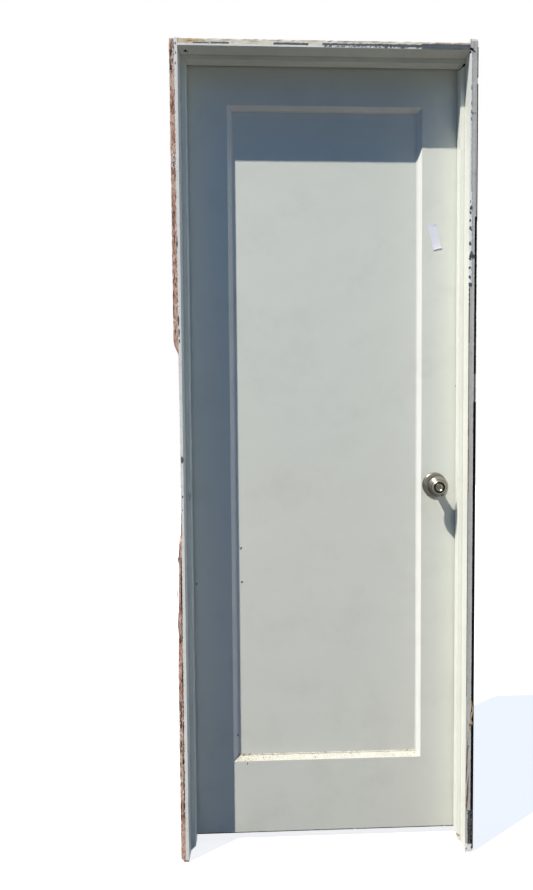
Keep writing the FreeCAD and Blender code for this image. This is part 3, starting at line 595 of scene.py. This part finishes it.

# Strike jamb's edge: grey paint, a torn white lip with dark slate flakes under it that paint
# the shadow in holes in its paint, then pale filler and a black strip that paints the shadow
# along the outer arris, and a cracked chip low down. Each flake is (x from the jamb's inner
# face, z, width, height, lean).
on_jambs([
    torn_sheet(RIGHT, RIGHT + 5.4, 1706, 2053, "right low", 1.4, 0.5),
    torn_sheet(RIGHT, RIGHT + 8.0, 1482, 1712, "right low high", 2.0, 0.5),
    torn_sheet(RIGHT + 0.4, OUTER - 3, 4, 26, "right high", 2.0, 0.6),
], "strike_jamb_torn_enamel", fresh_enamel)
on_jambs([torn_sheet(RIGHT + 0.2, RIGHT + 10.6, HEAD + 3.4, HEAD + 19, "left low", 1.4, 0.4,
                     0.5)], "strike_jamb_grey_paint", grey_paint)
flakes = [(RIGHT + x, z, 1.35 * wide, 1.15 * tall, lean) for x, z, wide, tall, lean in (
    (3.0, 1687, 2.4, 6, 0), (4.4, 1671, 5.4, 11, 0.3), (3.2, 1660, 4, 9, -0.6),
    (2.6, 1640, 3.6, 9, 0), (3.0, 1622, 4.6, 9, 0.4), (5.6, 1617, 2.6, 7, 0),
    (2.6, 1583, 4.6, 11, 0), (4.6, 1556, 6, 18, 0.2), (7.4, 1550, 10, 9, 0.3),
    (10.5, 1553, 6, 5, 0.2), (2.6, 1545, 5, 8, 0), (2.4, 1523, 4.6, 8, 0),
    (2.6, 1499, 4.4, 10, -0.2), (3.2, 1481, 7.0, 9, 0.5), (1.4, 1468, 2.0, 9, 0),
    (1.4, 1456, 2.0, 10, 0), (1.6, 1444, 1.8, 9, 0), (1.4, 1433, 2.0, 7, 0),
    (4.4, 1906, 2.2, 3, 0.4), (8.0, 1904, 2.2, 2.6, 0), (13.0, 1905, 2, 2.4, 0),
    (4.0, 1890, 1.4, 9, 0), (4.2, 1908, 1.4, 10, 0), (4.0, 1928, 1.6, 8, 0),
    (4.4, 1966, 1.6, 12, 0), (7.4, 287, 3, 3, 0), (6.0, 280, 2, 2, 0))]
on_jambs(edge_chips(flakes, seed=40, lift=0.6, level=0.55), "strike_jamb_shadow_flakes",
         shadow_slate)
on_jambs([torn_sheet(RIGHT + 5.2, OUTER - 1, 22, 116, "left low high", 2.2, 0.5)],
         "strike_jamb_damp_foot", foot_grey)
on_jambs([torn_sheet(OUTER - 10.4, OUTER - 6.4, 250, 1980, "left", 0.5, 0.3, 0.6)],
         "strike_jamb_pale_filler", pale_grey)
# Painted shadow: a black strip along the outer arris, and black chips in the crack where the
# head meets the jamb.
on_jambs([
    torn_sheet(OUTER - 2.4, OUTER, 1990, 2064, "left low high", 0.5, 0.8),
    torn_sheet(OUTER - 2.6, OUTER, 1640, 1975, "left low high", 0.6, 0.8),
    torn_sheet(OUTER - 6.6, OUTER - 0.3, 1255, 1650, "left right", 0.8, 0.9),
    torn_sheet(OUTER - 7.4, OUTER - 0.1, 500, 1186, "left", 0.6, 0.9),
    torn_sheet(OUTER - 7.6, OUTER, 12, 510, "left low", 0.7, 0.9),
    *edge_chips(((RIGHT + 1.2, 2060.5, 5.0, 7.0, 0.5), (RIGHT + 5.4, 2058, 8.0, 5.0, 0.6),
                 (RIGHT + 10, 2054.6, 7, 2.0, 0.35), (RIGHT + 0.8, 2051.5, 4.5, 6, 0)),
                seed=71, lift=0.7, level=0.7),
], "strike_jamb_black_strip", black_finish)
# The strike jamb's inner arris is grey along the middle of its length.
grey_arris = wood("grey_arris", [
    (0.38, "#8C8B85"), (0.5, "#9A9993"), (0.64, "#ADACA6")], (1, 1, 0.2), 3.0, 0.3)
on_jambs([torn_sheet(RIGHT + 0.1, RIGHT + 2.3, 420, 1330, "right low high", 0.4, 0.3, 0.6)],
         "strike_jamb_grey_arris", grey_arris)
on_jambs([torn_sheet(OUTER - 6.0, OUTER - 1.0, 1184, 1258, "left right", 0.8, 0.7)],
         "strike_jamb_dull_brown_strip", dull_brown)
on_jambs([
    torn_sheet(RIGHT - 0.1, RIGHT + 2.2, 1334, 1434, "right low high", 0.4, 0.3),
    *edge_chips(((RIGHT + 4.6, 160, 4, 110, 0.06), (RIGHT + 2.6, 245, 2.6, 120, 0.03),
                 (OUTER - 10, 344, 5, 9, 0.5), (OUTER - 8, 376, 3, 14, 0.2)),
                seed=75, lift=1.2),
], "strike_jamb_bruised_wood", bruised)
on_jambs([
    torn_sheet(RIGHT - 0.1, RIGHT + 2.4, 955, 1152, "right low high", 0.4, 0.3),
    *edge_chips(((OUTER - 4.4, 392, 5, 42, -0.15), (OUTER - 6.4, 368, 7, 26, 0.25),
                 (OUTER - 8.4, 340, 6, 24, 0.1), (OUTER - 5.0, 350, 4, 18, -0.2),
                 (RIGHT + 3, 12, 5, 6, 0.3)), seed=76, lift=1.2),
    chip((RIGHT - 6, STOP_FACE, 18), 9, 6, 231, 0.5),
    chip((RIGHT - 10, STOP_FACE, 22), 4, 5, 232, 0.5),
], "strike_jamb_tan_chips", tan_wood)

# Small damage on the painted faces: the shade in a nail hole in the head and in an open
# crack where the stops meet, painted as black flakes; the shade in a dent in the hinge-side
# stop, painted as grey flakes; specks on the door and a dark line along its lower edge.
# Each piece of it is only a flake thick, so it reads as a dark or pale spot.
PANEL_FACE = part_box("panel")[0].y / MM - 0.05
on_jambs([
    chip((LEFT + 15.6, -30, HEAD), 6.4, 12, 201, 0.5, 0.5, "down"),
    chip((LEFT + 19.8, -25, HEAD), 2.4, 8, 202, 0.3, 0.5, "down"),
    chip((RIGHT - 3.0, STOP_FACE, HEAD - 15.0), 6.6, 8, 203, 0.5, 0.6),
    chip((RIGHT - 6.2, STOP_FACE, HEAD - 18.6), 3.0, 8, 206, 0.5, 0.8),
    chip((RIGHT - 10.0, STOP_FACE, HEAD - 22.6), 2.0, 11, 204, 0.4, 0.8),
    chip((RIGHT - 14.8, STOP_FACE, HEAD - 27.0), 1.6, 8, 205, 0.3, 0.8),
], "nail_hole_and_crack", black_finish)
# Painted shade: grey flakes for the shade in the dent.
finished(joined([
    chip((LEFT + 12, STOP_FACE + 2.6, 946), 9, 5.4, 211, 0.4, 0, "right"),
    chip((LEFT + 9.4, STOP_FACE, 944), 4.4, 26, 212, 0.3, 0.2),
    chip((LEFT + 5.4, STOP_FACE, 950), 3.0, 16, 213, 0.3, 0.1),
]), "stop_dent", pale_grey, "frame", "stop_paint")
finished(joined([
    chip((731.2, DOOR_FRONT, 1227), 3.0, 4.0, 221, 0.35),
    chip((733.3, DOOR_FRONT, 253.5), 2.6, 3.4, 222, 0.35),
    chip((169.0, DOOR_FRONT, 212), 2.6, 7.0, 226, 0.25),
    chip((156.8, PANEL_FACE, 797), 4.6, 9.0, 227, 0.3, 0.5),
    chip((158.6, PANEL_FACE, 705), 7.0, 5.0, 228, 0.3, -0.6),
    chip((39.3, DOOR_FRONT, 705.5), 3.0, 5.0, 229, 0.25),
    chip((143.4, PANEL_FACE - 2.3, 286), 3.6, 7.0, 230, 0.6),
]), "door_specks", dull_brown, "door", "door_paint")
finished(joined([
    chip((74.4, DOOR_FRONT, 147.4), 2.6, 8.0, 223, 0.25),
    chip((95.9, DOOR_FRONT, 40.9), 9.0, 3.6, 224, 0.25),
    chip((36.5, DOOR_FRONT, 120.8), 3.0, 3.0, 225, 0.25),
]), "faint_door_specks", pale_grey, "door", "door_paint")
# A dark line along the door's lower edge.
dark_bottom_edge = torn_sheet(27, 735.4, 20.1, 22.8, "high", 0.4, 0.2, 0)
settle(dark_bottom_edge, (0, DOOR_FRONT * MM - FRONT - 0.1 * MM, 0))
finished(dark_bottom_edge, "dark_bottom_line", dull_brown, "door", "door_paint")

# Price tag: a blank strip of thin bluish paper stuck to the lock stile, its lower end
# folded up and away from the door. The paper is matt, with fibres drawn about a millimetre
# long, since real ones are too fine to show.
TAG_WIDE, TAG_TALL, TAG_LEAN = 22.5, 66, math.radians(14)
TAG_X, TAG_Z, TAG_OFF = 672.2, 1618, 0.3
FOLDS = ((-21, 0.1), (-24, 0.2), (-27, 0.3), (-30, 0.4))
paper, tree, shader, place = new_finish("thin_paper")
fibres = add(tree, "ShaderNodeTexNoise", {
    "Vector": place, "Scale": per_metre(1.111), "Detail": 3.0}).outputs[0]
bluish = spread(tree, fibres, [(0.35, "#E2E4F0"), (0.65, "#F0F2FA")])
relief = add(tree, "ShaderNodeBump", {"Height": fibres, "Distance": 0.05 * MM})
wire(tree, shader, {"Base Color": bluish, "Roughness": 0.8, "Normal": relief.outputs[0]})
bpy.ops.object.select_all(action="DESELECT")
bpy.ops.mesh.primitive_grid_add(x_subdivisions=4, y_subdivisions=22, size=1)
tag = bpy.context.object
settle(tag, size=(TAG_WIDE * MM, TAG_TALL * MM, 1))
for start, rise in FOLDS:
    pick(tag, lambda spot: spot.y < start * MM)
    bpy.ops.transform.translate(value=(0, 0, rise * MM))
pick(tag, lambda spot: spot.y > 28 * MM and spot.x > 4 * MM)
bpy.ops.transform.translate(value=(0, 0, 0.8 * MM))
bpy.ops.object.mode_set(mode="OBJECT")
settle(tag, turn=(0, 0, TAG_LEAN))
settle(tag, (TAG_X * MM, (DOOR_FRONT - TAG_OFF) * MM, TAG_Z * MM), (math.pi / 2, 0, 0))
sheet = tag.modifiers.new("sheet", "SOLIDIFY")
sheet.thickness = 0.15 * MM
sheet.offset = 0
bpy.ops.object.modifier_apply(modifier="sheet")
bpy.ops.object.shade_smooth_by_angle(angle=math.radians(30))
finished(tag, "blank_paper_tag", paper, "door", "door_paint")


# Hinges: stamped steel leaves with rolled knuckles, nickel plated, let into jamb and stile
# and held by three countersunk screws each. The plate is dull, browner in its corners and
# flecked with white where paint has caught it.
def nickel(name, shade, rough, darkening, flecks=0.0, pitch=0.6):
    """Satin nickel with tarnish in its corners; flecks is the share hidden by stray paint."""
    material, tree, shader, place = new_finish(name)
    cloud = add(tree, "ShaderNodeTexNoise", {
        "Vector": place, "Scale": per_metre(22.22), "Detail": 6.0,
        "Roughness": 0.65}).outputs[0]
    lines = add(tree, "ShaderNodeTexNoise", {
        "Vector": place, "Scale": per_metre(pitch), "Detail": 2.0}).outputs[0]
    joint = add(tree, "ShaderNodeAmbientOcclusion", {"Distance": 3 * MM}, samples=6)
    corners = spread(tree, joint.outputs["AO"], [(0.45, 1.0), (0.9, 0.0)])
    smears = spread(tree, cloud, [(0.45, 0.0), (0.75, 0.5)])
    brown = add(tree, "ShaderNodeMath", {0: corners, 1: smears}, operation="MAXIMUM").outputs[0]
    colour = add(tree, "ShaderNodeMix", {
        "Factor": brown, "A": linear(shade), "B": linear(darkening)}, data_type="RGBA").outputs[2]
    worn = add(tree, "ShaderNodeMapRange", {
        "Value": cloud, "To Min": rough, "To Max": rough + 0.15}).outputs[0]
    relief = add(tree, "ShaderNodeBump", {"Height": lines, "Distance": 0.02 * MM})
    bare = 1.0
    if flecks:
        drops = add(tree, "ShaderNodeMath", {0: cloud, 1: flecks},
                    operation="LESS_THAN").outputs[0]
        colour = add(tree, "ShaderNodeMix", {
            "Factor": drops, "A": colour, "B": linear(DOOR_WHITE)}, data_type="RGBA").outputs[2]
        bare = add(tree, "ShaderNodeMath", {0: 1.0, 1: drops}, operation="SUBTRACT").outputs[0]
    wire(tree, shader, {"Base Color": colour, "Metallic": bare, "Roughness": worn,
                        "Normal": relief.outputs[0]})
    return material


plate = nickel("nickel_plate", "#B7B0A2", rough=0.3, darkening="#4A4238", flecks=0.35)
steel = nickel("bright_steel", "#A8A39A", rough=0.25, darkening="#3C362E")

# The screws have flat countersunk heads with a cross recess. One is modelled with a rim of
# about 6 and then brought to size.
HEAD_RADIUS, RIM = 4.1, 6
bpy.ops.object.select_all(action="DESELECT")
bpy.ops.mesh.primitive_grid_add(x_subdivisions=5, y_subdivisions=5, size=10)
screw = bpy.context.object
pick(screw, lambda spot: max(abs(spot.x), abs(spot.y)) > 4.9)
bpy.ops.transform.tosphere(value=1)
pick(screw, lambda spot: (abs(spot.x) < 1.1 and abs(spot.y) < 3.1)
     or (abs(spot.y) < 1.1 and abs(spot.x) < 3.1))
bpy.ops.mesh.extrude_region_move(TRANSFORM_OT_translate={"value": (0, 0, -2.2)})
bpy.ops.transform.resize(value=(0.6, 0.6, 1), center_override=(0, 0, -2.2))
pick(screw, lambda spot: spot.xy.length > 5.2 and spot.z > -0.1)
bpy.ops.mesh.extrude_edges_move(TRANSFORM_OT_translate={"value": (0, 0, -0.6)})
bpy.ops.mesh.extrude_edges_move(TRANSFORM_OT_translate={"value": (0, 0, -4.4)})
bpy.ops.transform.resize(value=(0.5, 0.5, 1), center_override=(0, 0, -5))
bpy.ops.mesh.edge_face_add()
bpy.ops.mesh.select_all(action="SELECT")
bpy.ops.mesh.normals_make_consistent(inside=False)
bpy.ops.object.mode_set(mode="OBJECT")
settle(screw, size=[HEAD_RADIUS / RIM * MM] * 3)
bpy.ops.object.shade_smooth_by_angle(angle=math.radians(30))

TURNS = {"+X": (0, math.pi / 2, 0), "-X": (0, -math.pi / 2, 0), "+Y": (-math.pi / 2, 0, 0),
         "-Y": (math.pi / 2, 0, 0)}
WAYS = {"+X": (1, 0, 0), "-X": (-1, 0, 0), "+Y": (0, 1, 0), "-Y": (0, -1, 0)}


def screws(spots, way, seed, size=1.0):
    """Screws at places in mm, their heads facing a way, each slot turned by chance."""
    chance = random.Random(seed)
    copies = []
    for spot in spots:
        copy = twin(screw)
        settle(copy, turn=(0, 0, chance.uniform(0, 1.57)), size=[size] * 3)
        settle(copy, [part * MM for part in spot], TURNS[way])
        copies.append(copy)
    return copies


SHANK_RADIUS, SINK_RADIUS, SINK_DEPTH, SUNK = 1.9, 4.5, 2.6, 1.2


def bored(node, spots, way, material):
    """A copy of a CAD plate with a countersunk hole at each place in mm."""
    piece = merged(node)
    piece.data.materials.clear()
    piece.data.materials.append(material)
    for spot in spots:
        bpy.ops.object.select_all(action="DESELECT")
        bpy.ops.mesh.primitive_cone_add(vertices=28, radius1=SHANK_RADIUS * MM,
                                        radius2=SINK_RADIUS * MM, depth=SINK_DEPTH * MM)
        cutter = bpy.context.object
        sunk = [part * MM - SUNK * MM * step for part, step in zip(spot, WAYS[way])]
        settle(cutter, sunk, TURNS[way])
        only(piece)
        hole = piece.modifiers.new("hole", "BOOLEAN")
        hole.object = cutter
        hole.operation = "DIFFERENCE"
        bpy.ops.object.modifier_apply(modifier="hole")
        bpy.data.objects.remove(cutter)
    bpy.ops.object.shade_smooth_by_angle(angle=math.radians(35))
    return piece


LEAF_SCREWS = ((22, 13), (10, 44.5), (22, 76))
for level in ("top", "middle", "bottom"):
    for owner, way in (("frame", "+X"), ("door", "-X")):
        node = f"{owner}_hinge_leaf_{level}"
        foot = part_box(node)[0].z / MM
        face = LEFT if owner == "frame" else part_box("hinge_stile")[0].x / MM
        spots = [(face, BACK / MM - inset, foot + rise) for inset, rise in LEAF_SCREWS]
        leaf = joined([bored(node, spots, way, plate)] + screws(spots, way, len(level)))
        finished(leaf, f"{owner}_leaf_and_screws_{level}", plate, owner, "hinge_steel", node)
    dress(steel, f"hinge_pin_{level}")

# Latch: a steel case bored into the stile with a steel bolt. Its faceplate and the lipped
# strike plate are pressed from plated sheet and each held by two screws, a size smaller than
# the hinges' screws.
FACEPLATE_SCREWS, STRIKE_SCREWS, SMALLER = (-22, 22), (-21.5, 21.5), 0.9
plate_low, plate_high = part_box("latch_faceplate")
latch_y = (plate_low.y + plate_high.y) / 2 / MM
latch_z = (plate_low.z + plate_high.z) / 2 / MM
face_spots = [(plate_high.x / MM, latch_y, latch_z + rise) for rise in FACEPLATE_SCREWS]
faceplate = joined([bored("latch_faceplate", face_spots, "+X", plate)]
                   + screws(face_spots, "+X", 4, SMALLER))
finished(faceplate, "latch_faceplate_and_screws", plate, "door", "latch_steel",
         "latch_faceplate")
strike_spots = [(RIGHT, latch_y, latch_z + rise) for rise in STRIKE_SCREWS]
strike = joined([bored("strike_plate", strike_spots, "-X", plate)]
                + screws(strike_spots, "-X", 3, SMALLER))
finished(strike, "strike_plate_and_screws", plate, "frame", "latch_steel", "strike_plate")
dress(plate, "latch_case")
dress(steel, "latch_bolt", "spindle")

# Knobs: spun from sheet and satin nickel plated, polished by hands on the face. Their dark
# neck, dark cup, pinhole and corners and their darker lower left are painted shade and painted
# dark reflection, laid on as brown tarnish. The roses are pressed from the same metal. The
# lathe's rings are drawn coarser than real ones, so that they show.
old_nickel, tree, shader, place = new_finish("handled_nickel")
spindle_low, spindle_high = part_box("spindle")
KNOB_X = (spindle_low.x + spindle_high.x) / 2 / MM
KNOB_Z = (spindle_low.z + spindle_high.z) / 2 / MM
DOOR_MID = (DOOR_FRONT + DOOR_BACK) / 2
DARKER_TOWARDS = (-24.0, 0.0, -24.0)
spot = add(tree, "ShaderNodeMapping", {
    0: place, "Location": (-KNOB_X * MM, -DOOR_MID * MM, -KNOB_Z * MM)}).outputs[0]
parts = add(tree, "ShaderNodeSeparateXYZ", {0: spot}).outputs
flat = add(tree, "ShaderNodeCombineXYZ", {"X": parts["X"], "Z": parts["Z"]}).outputs[0]
radius = add(tree, "ShaderNodeVectorMath", {0: flat}, operation="LENGTH").outputs["Value"]
reach = add(tree, "ShaderNodeMath", {0: parts["Y"]}, operation="ABSOLUTE").outputs[0]
rings = add(tree, "ShaderNodeCombineXYZ", {"X": radius, "Y": reach}).outputs[0]
spun = add(tree, "ShaderNodeTexNoise", {
    "Vector": rings, "Scale": per_metre(1.111), "Detail": 3.0}).outputs[0]
cloud = add(tree, "ShaderNodeTexNoise", {
    "Vector": place, "Scale": per_metre(16.67), "Detail": 5.0, "Roughness": 0.6}).outputs[0]
# From the door's middle outwards: the rose, the neck darkened as painted shade, then the head,
# left bright.
outwards = add(tree, "ShaderNodeMapRange", {"Value": reach, "From Max": 80 * MM}).outputs[0]
neck_shade = spread(tree, outwards, [(0.31, 0.5), (0.34, 0.9), (0.66, 0.95), (0.76, 0.1)])
# Painted shade: darker within 5 mm of the knob's corners and of the door.
joint = add(tree, "ShaderNodeAmbientOcclusion", {"Distance": 5 * MM}, samples=6)
corners = spread(tree, joint.outputs["AO"], [(0.45, 1.0), (0.9, 0.0)])
smears = spread(tree, cloud, [(0.5, 0.0), (0.75, 0.5)])
bands = add(tree, "ShaderNodeTexNoise", {
    "Vector": rings, "Scale": per_metre(3.846), "Detail": 2.0}).outputs[0]
bands = spread(tree, bands, [(0.42, 0.0), (0.58, 0.7)])
# From the axis outwards, painted shade: the dark pinhole, the cap's darkened hollow, its rim
# left bare, the dark cup.
across = add(tree, "ShaderNodeMapRange", {"Value": radius, "From Max": 30 * MM}).outputs[0]
hollow_shade = spread(tree, across, [
    (0.04, 1.0), (0.06, 0.5), (0.2, 0.9), (0.23, 0.0), (0.33, 0.0), (0.35, 1.0), (0.48, 0.95),
    (0.56, 0.0)])
# Painted dark reflection: darker towards the knob's lower left, which faces away from the
# light.
downwards = add(tree, "ShaderNodeVectorMath", {0: spot, 1: DARKER_TOWARDS},
                operation="DOT_PRODUCT").outputs["Value"]
dark_reflection_side = spread(tree, downwards, [(0.1, 0.0), (0.7, 0.8)])
brown = corners
for darkening in (smears, neck_shade, bands, hollow_shade, dark_reflection_side):
    brown = add(tree, "ShaderNodeMath", {0: brown, 1: darkening}, operation="MAXIMUM").outputs[0]
colour = add(tree, "ShaderNodeMix", {
    "Factor": brown, "A": linear("#A29F95"), "B": linear("#1A1610")},
    data_type="RGBA").outputs[2]
worn = add(tree, "ShaderNodeMapRange", {
    "Value": cloud, "To Min": 0.24, "To Max": 0.4}).outputs[0]
relief = add(tree, "ShaderNodeBump", {"Height": spun, "Distance": 0.03 * MM})
wire(tree, shader, {"Base Color": colour, "Metallic": 1.0, "Roughness": worn,
                    "Normal": relief.outputs[0]})


def turned(rings, start, way):
    """A solid of revolution from (radius, height) rings in mm, on the knobs' axis."""
    bpy.ops.object.select_all(action="DESELECT")
    bpy.ops.mesh.primitive_circle_add(vertices=64, radius=rings[0][0], fill_type="NGON",
                                      location=(0, 0, rings[0][1]))
    piece = bpy.context.object
    settle(piece, piece.location[:])
    bpy.ops.object.mode_set(mode="EDIT")
    for (small, low), (large, high) in zip(rings, rings[1:]):
        bpy.ops.mesh.extrude_region_move(TRANSFORM_OT_translate={"value": (0, 0, high - low)})
        ratio = large / small
        bpy.ops.transform.resize(value=(ratio, ratio, 1), center_override=(0, 0, high))
    bpy.ops.mesh.select_all(action="SELECT")
    bpy.ops.mesh.normals_make_consistent(inside=False)
    bpy.ops.object.mode_set(mode="OBJECT")
    settle(piece, size=[MM] * 3)
    settle(piece, (KNOB_X * MM, start * MM, KNOB_Z * MM), TURNS[way])
    bpy.ops.object.shade_smooth_by_angle(angle=math.radians(40))
    return piece


# Profiles as (radius, height off the door's face), and the two screws of the back rose.
ROSE_SCREWS, ROSE_SCREW_RISE, SMALL_SCREW = (-23, 23), 8.7, 0.8
ROSE = ((32.5, 0), (32.5, 1.6), (32.2, 2.4), (31.2, 3.6), (29, 5), (25, 6.6), (20, 7.8),
        (16, 8.6), (14.2, 9), (11.2, 9))
KNOB = ((11, 9), (11, 22), (11.2, 25), (12, 27.6), (13.8, 29.8), (16.8, 31.7),
        (20.4, 33.4), (23.6, 35.2), (25.8, 37.2), (27, 39.4), (27.4, 41.2),
        (27.1, 42.6), (26.2, 44.2), (24.6, 46.4), (22.6, 49.2), (20.2, 52.2), (17.6, 55.2),
        (15.6, 57.2), (14.9, 57.9), (14.3, 58), (13.6, 57.2), (13.2, 55.6), (13, 55),
        (10.9, 55), (10.6, 54.6))
CAP = ((10.5, 50), (10.5, 57.1), (10.2, 57.5), (9.9, 57.6), (9.5, 57.3), (8.6, 56.5),
       (7.7, 55.6), (6.8, 54.9), (5.6, 54.5), (4, 54.3), (1.2, 54.3), (1, 52.6))
for side, start, way in (("front", DOOR_FRONT, "-Y"), ("back", DOOR_BACK, "+Y")):
    rose = turned(ROSE, start, way)
    if side == "back":
        rose_spots = [(KNOB_X + aside, start + ROSE_SCREW_RISE, KNOB_Z)
                      for aside in ROSE_SCREWS]
        rose = joined([rose] + screws(rose_spots, way, 9, SMALL_SCREW))
    finished(rose, f"{side}_rose_turned", old_nickel, "door", "knob_nickel", f"{side}_rose")
    finished(turned(KNOB, start, way), f"{side}_knob_turned", old_nickel, "knobs",
             "knob_nickel", f"{side}_knob")
finished(turned(CAP, DOOR_FRONT, "-Y"), "front_cap_turned", old_nickel, "knobs",
         "knob_nickel", "front_release_cap")
dress(old_nickel, "back_turn_button")
bpy.data.objects.remove(screw)


# Studio: a plain floor that shows white under a sun high on the left. The shade is filled by
# a blue sky, warm light off the ground and pale light from the right and from behind.
FLOOR_ACROSS, FLOOR_GLOW, BOUNCES_TO = 14, 0.82, 5.0
SKY_STRENGTH, SUN_STRENGTH, SUN_ACROSS = 0.86, 5.95, math.radians(0.5)
SUN_COLOUR, TO_SUN = (1.0, 0.944, 0.864), Vector((-0.4485, -0.3192, 0.835))


def shown_white(tree):
    """A factor that is 1 for rays that show the background itself, or its reflection."""
    rays = add(tree, "ShaderNodeLightPath").outputs
    seen = add(tree, "ShaderNodeMath", {0: rays["Is Camera Ray"], 1: rays["Is Glossy Ray"]},
               operation="MAXIMUM").outputs[0]
    return add(tree, "ShaderNodeMath", {0: seen, 1: rays["Is Transmission Ray"]},
               operation="MAXIMUM").outputs[0]


bpy.ops.object.select_all(action="DESELECT")
bpy.ops.mesh.primitive_plane_add(size=FLOOR_ACROSS)
floor = bpy.context.object
floor.name = "studio_floor"
pale, tree, shader, place = new_finish("pale_floor")
tree.nodes.remove(shader)
glow = add(tree, "ShaderNodeEmission", {"Color": (1, 1, 1, 1), "Strength": FLOOR_GLOW})
matt = add(tree, "ShaderNodeBsdfDiffuse", {"Color": linear("#B0ADA8")})
shown = add(tree, "ShaderNodeAddShader", {0: glow.outputs[0], 1: matt.outputs[0]})
away = add(tree, "ShaderNodeVectorMath", {0: place}, operation="LENGTH").outputs["Value"]
far = add(tree, "ShaderNodeMapRange", {"Value": away, "From Max": BOUNCES_TO}).outputs[0]
bounce = spread(tree, far, [
    (0.06, "#2C241C"), (0.26, "#5E4A30"), (0.45, "#4C3E2A"), (1.0, "#1C3A52")])
dull = add(tree, "ShaderNodeBsdfDiffuse", {"Color": bounce})
both = add(tree, "ShaderNodeMixShader", {
    0: shown_white(tree), 1: dull.outputs[0], 2: shown.outputs[0]})
output = next(node for node in tree.nodes if node.type == "OUTPUT_MATERIAL")
wire(tree, output, {"Surface": both.outputs[0]})
floor.data.materials.append(pale)

world = bpy.data.worlds.new("pale_sky")
world.use_nodes = True
tree = world.node_tree
tree.nodes.clear()
way = add(tree, "ShaderNodeTexCoord").outputs["Generated"]
towards = add(tree, "ShaderNodeSeparateXYZ", {0: way}).outputs
sky = spread(tree, towards["Z"], [
    (0.0, "#10202E"), (0.15, "#102B36"), (0.45, "#1A6CA8"), (1.0, "#2494F0")])
beside = spread(tree, towards["X"], [(0.88, 0.0), (0.98, 2.0)])
behind = spread(tree, towards["Y"], [(0.2, "#000000"), (0.9, "#9C968A")])
for light in (beside, behind):
    sky = add(tree, "ShaderNodeMix", {"Factor": 1.0, "A": sky, "B": light}, data_type="RGBA",
              blend_type="ADD").outputs[2]
fill = add(tree, "ShaderNodeBackground", {"Color": sky, "Strength": SKY_STRENGTH})
white = add(tree, "ShaderNodeBackground", {"Color": (1, 1, 1, 1), "Strength": 1.0})
both = add(tree, "ShaderNodeMixShader", {
    0: shown_white(tree), 1: fill.outputs[0], 2: white.outputs[0]})
add(tree, "ShaderNodeOutputWorld", {"Surface": both.outputs[0]})
bpy.context.scene.world = world

daylight = bpy.data.lights.new("daylight", "SUN")
daylight.energy = SUN_STRENGTH
daylight.angle = SUN_ACROSS
daylight.color = SUN_COLOUR
lamp = bpy.data.objects.new("daylight", daylight)
lamp.rotation_euler = TO_SUN.to_track_quat("Z", "Y").to_euler()
lamp.location = 3 * TO_SUN
bpy.context.collection.objects.link(lamp)

# The camera stands where the photo's own stood, found from the edges of frame and door.
camera_data = bpy.data.cameras.new("camera")
camera_data.lens = 27.067
camera_data.shift_x = -0.0502
camera_data.shift_y = -0.0184
camera = bpy.data.objects.new("camera", camera_data)
camera.location = (0.2701, -1.7415, 1.2045)
camera.rotation_euler = [math.radians(turn) for turn in (87.135, 0.288, -2.464)]
bpy.context.collection.objects.link(camera)
bpy.context.scene.camera = camera
bpy.context.scene.view_settings.view_transform = "Standard"
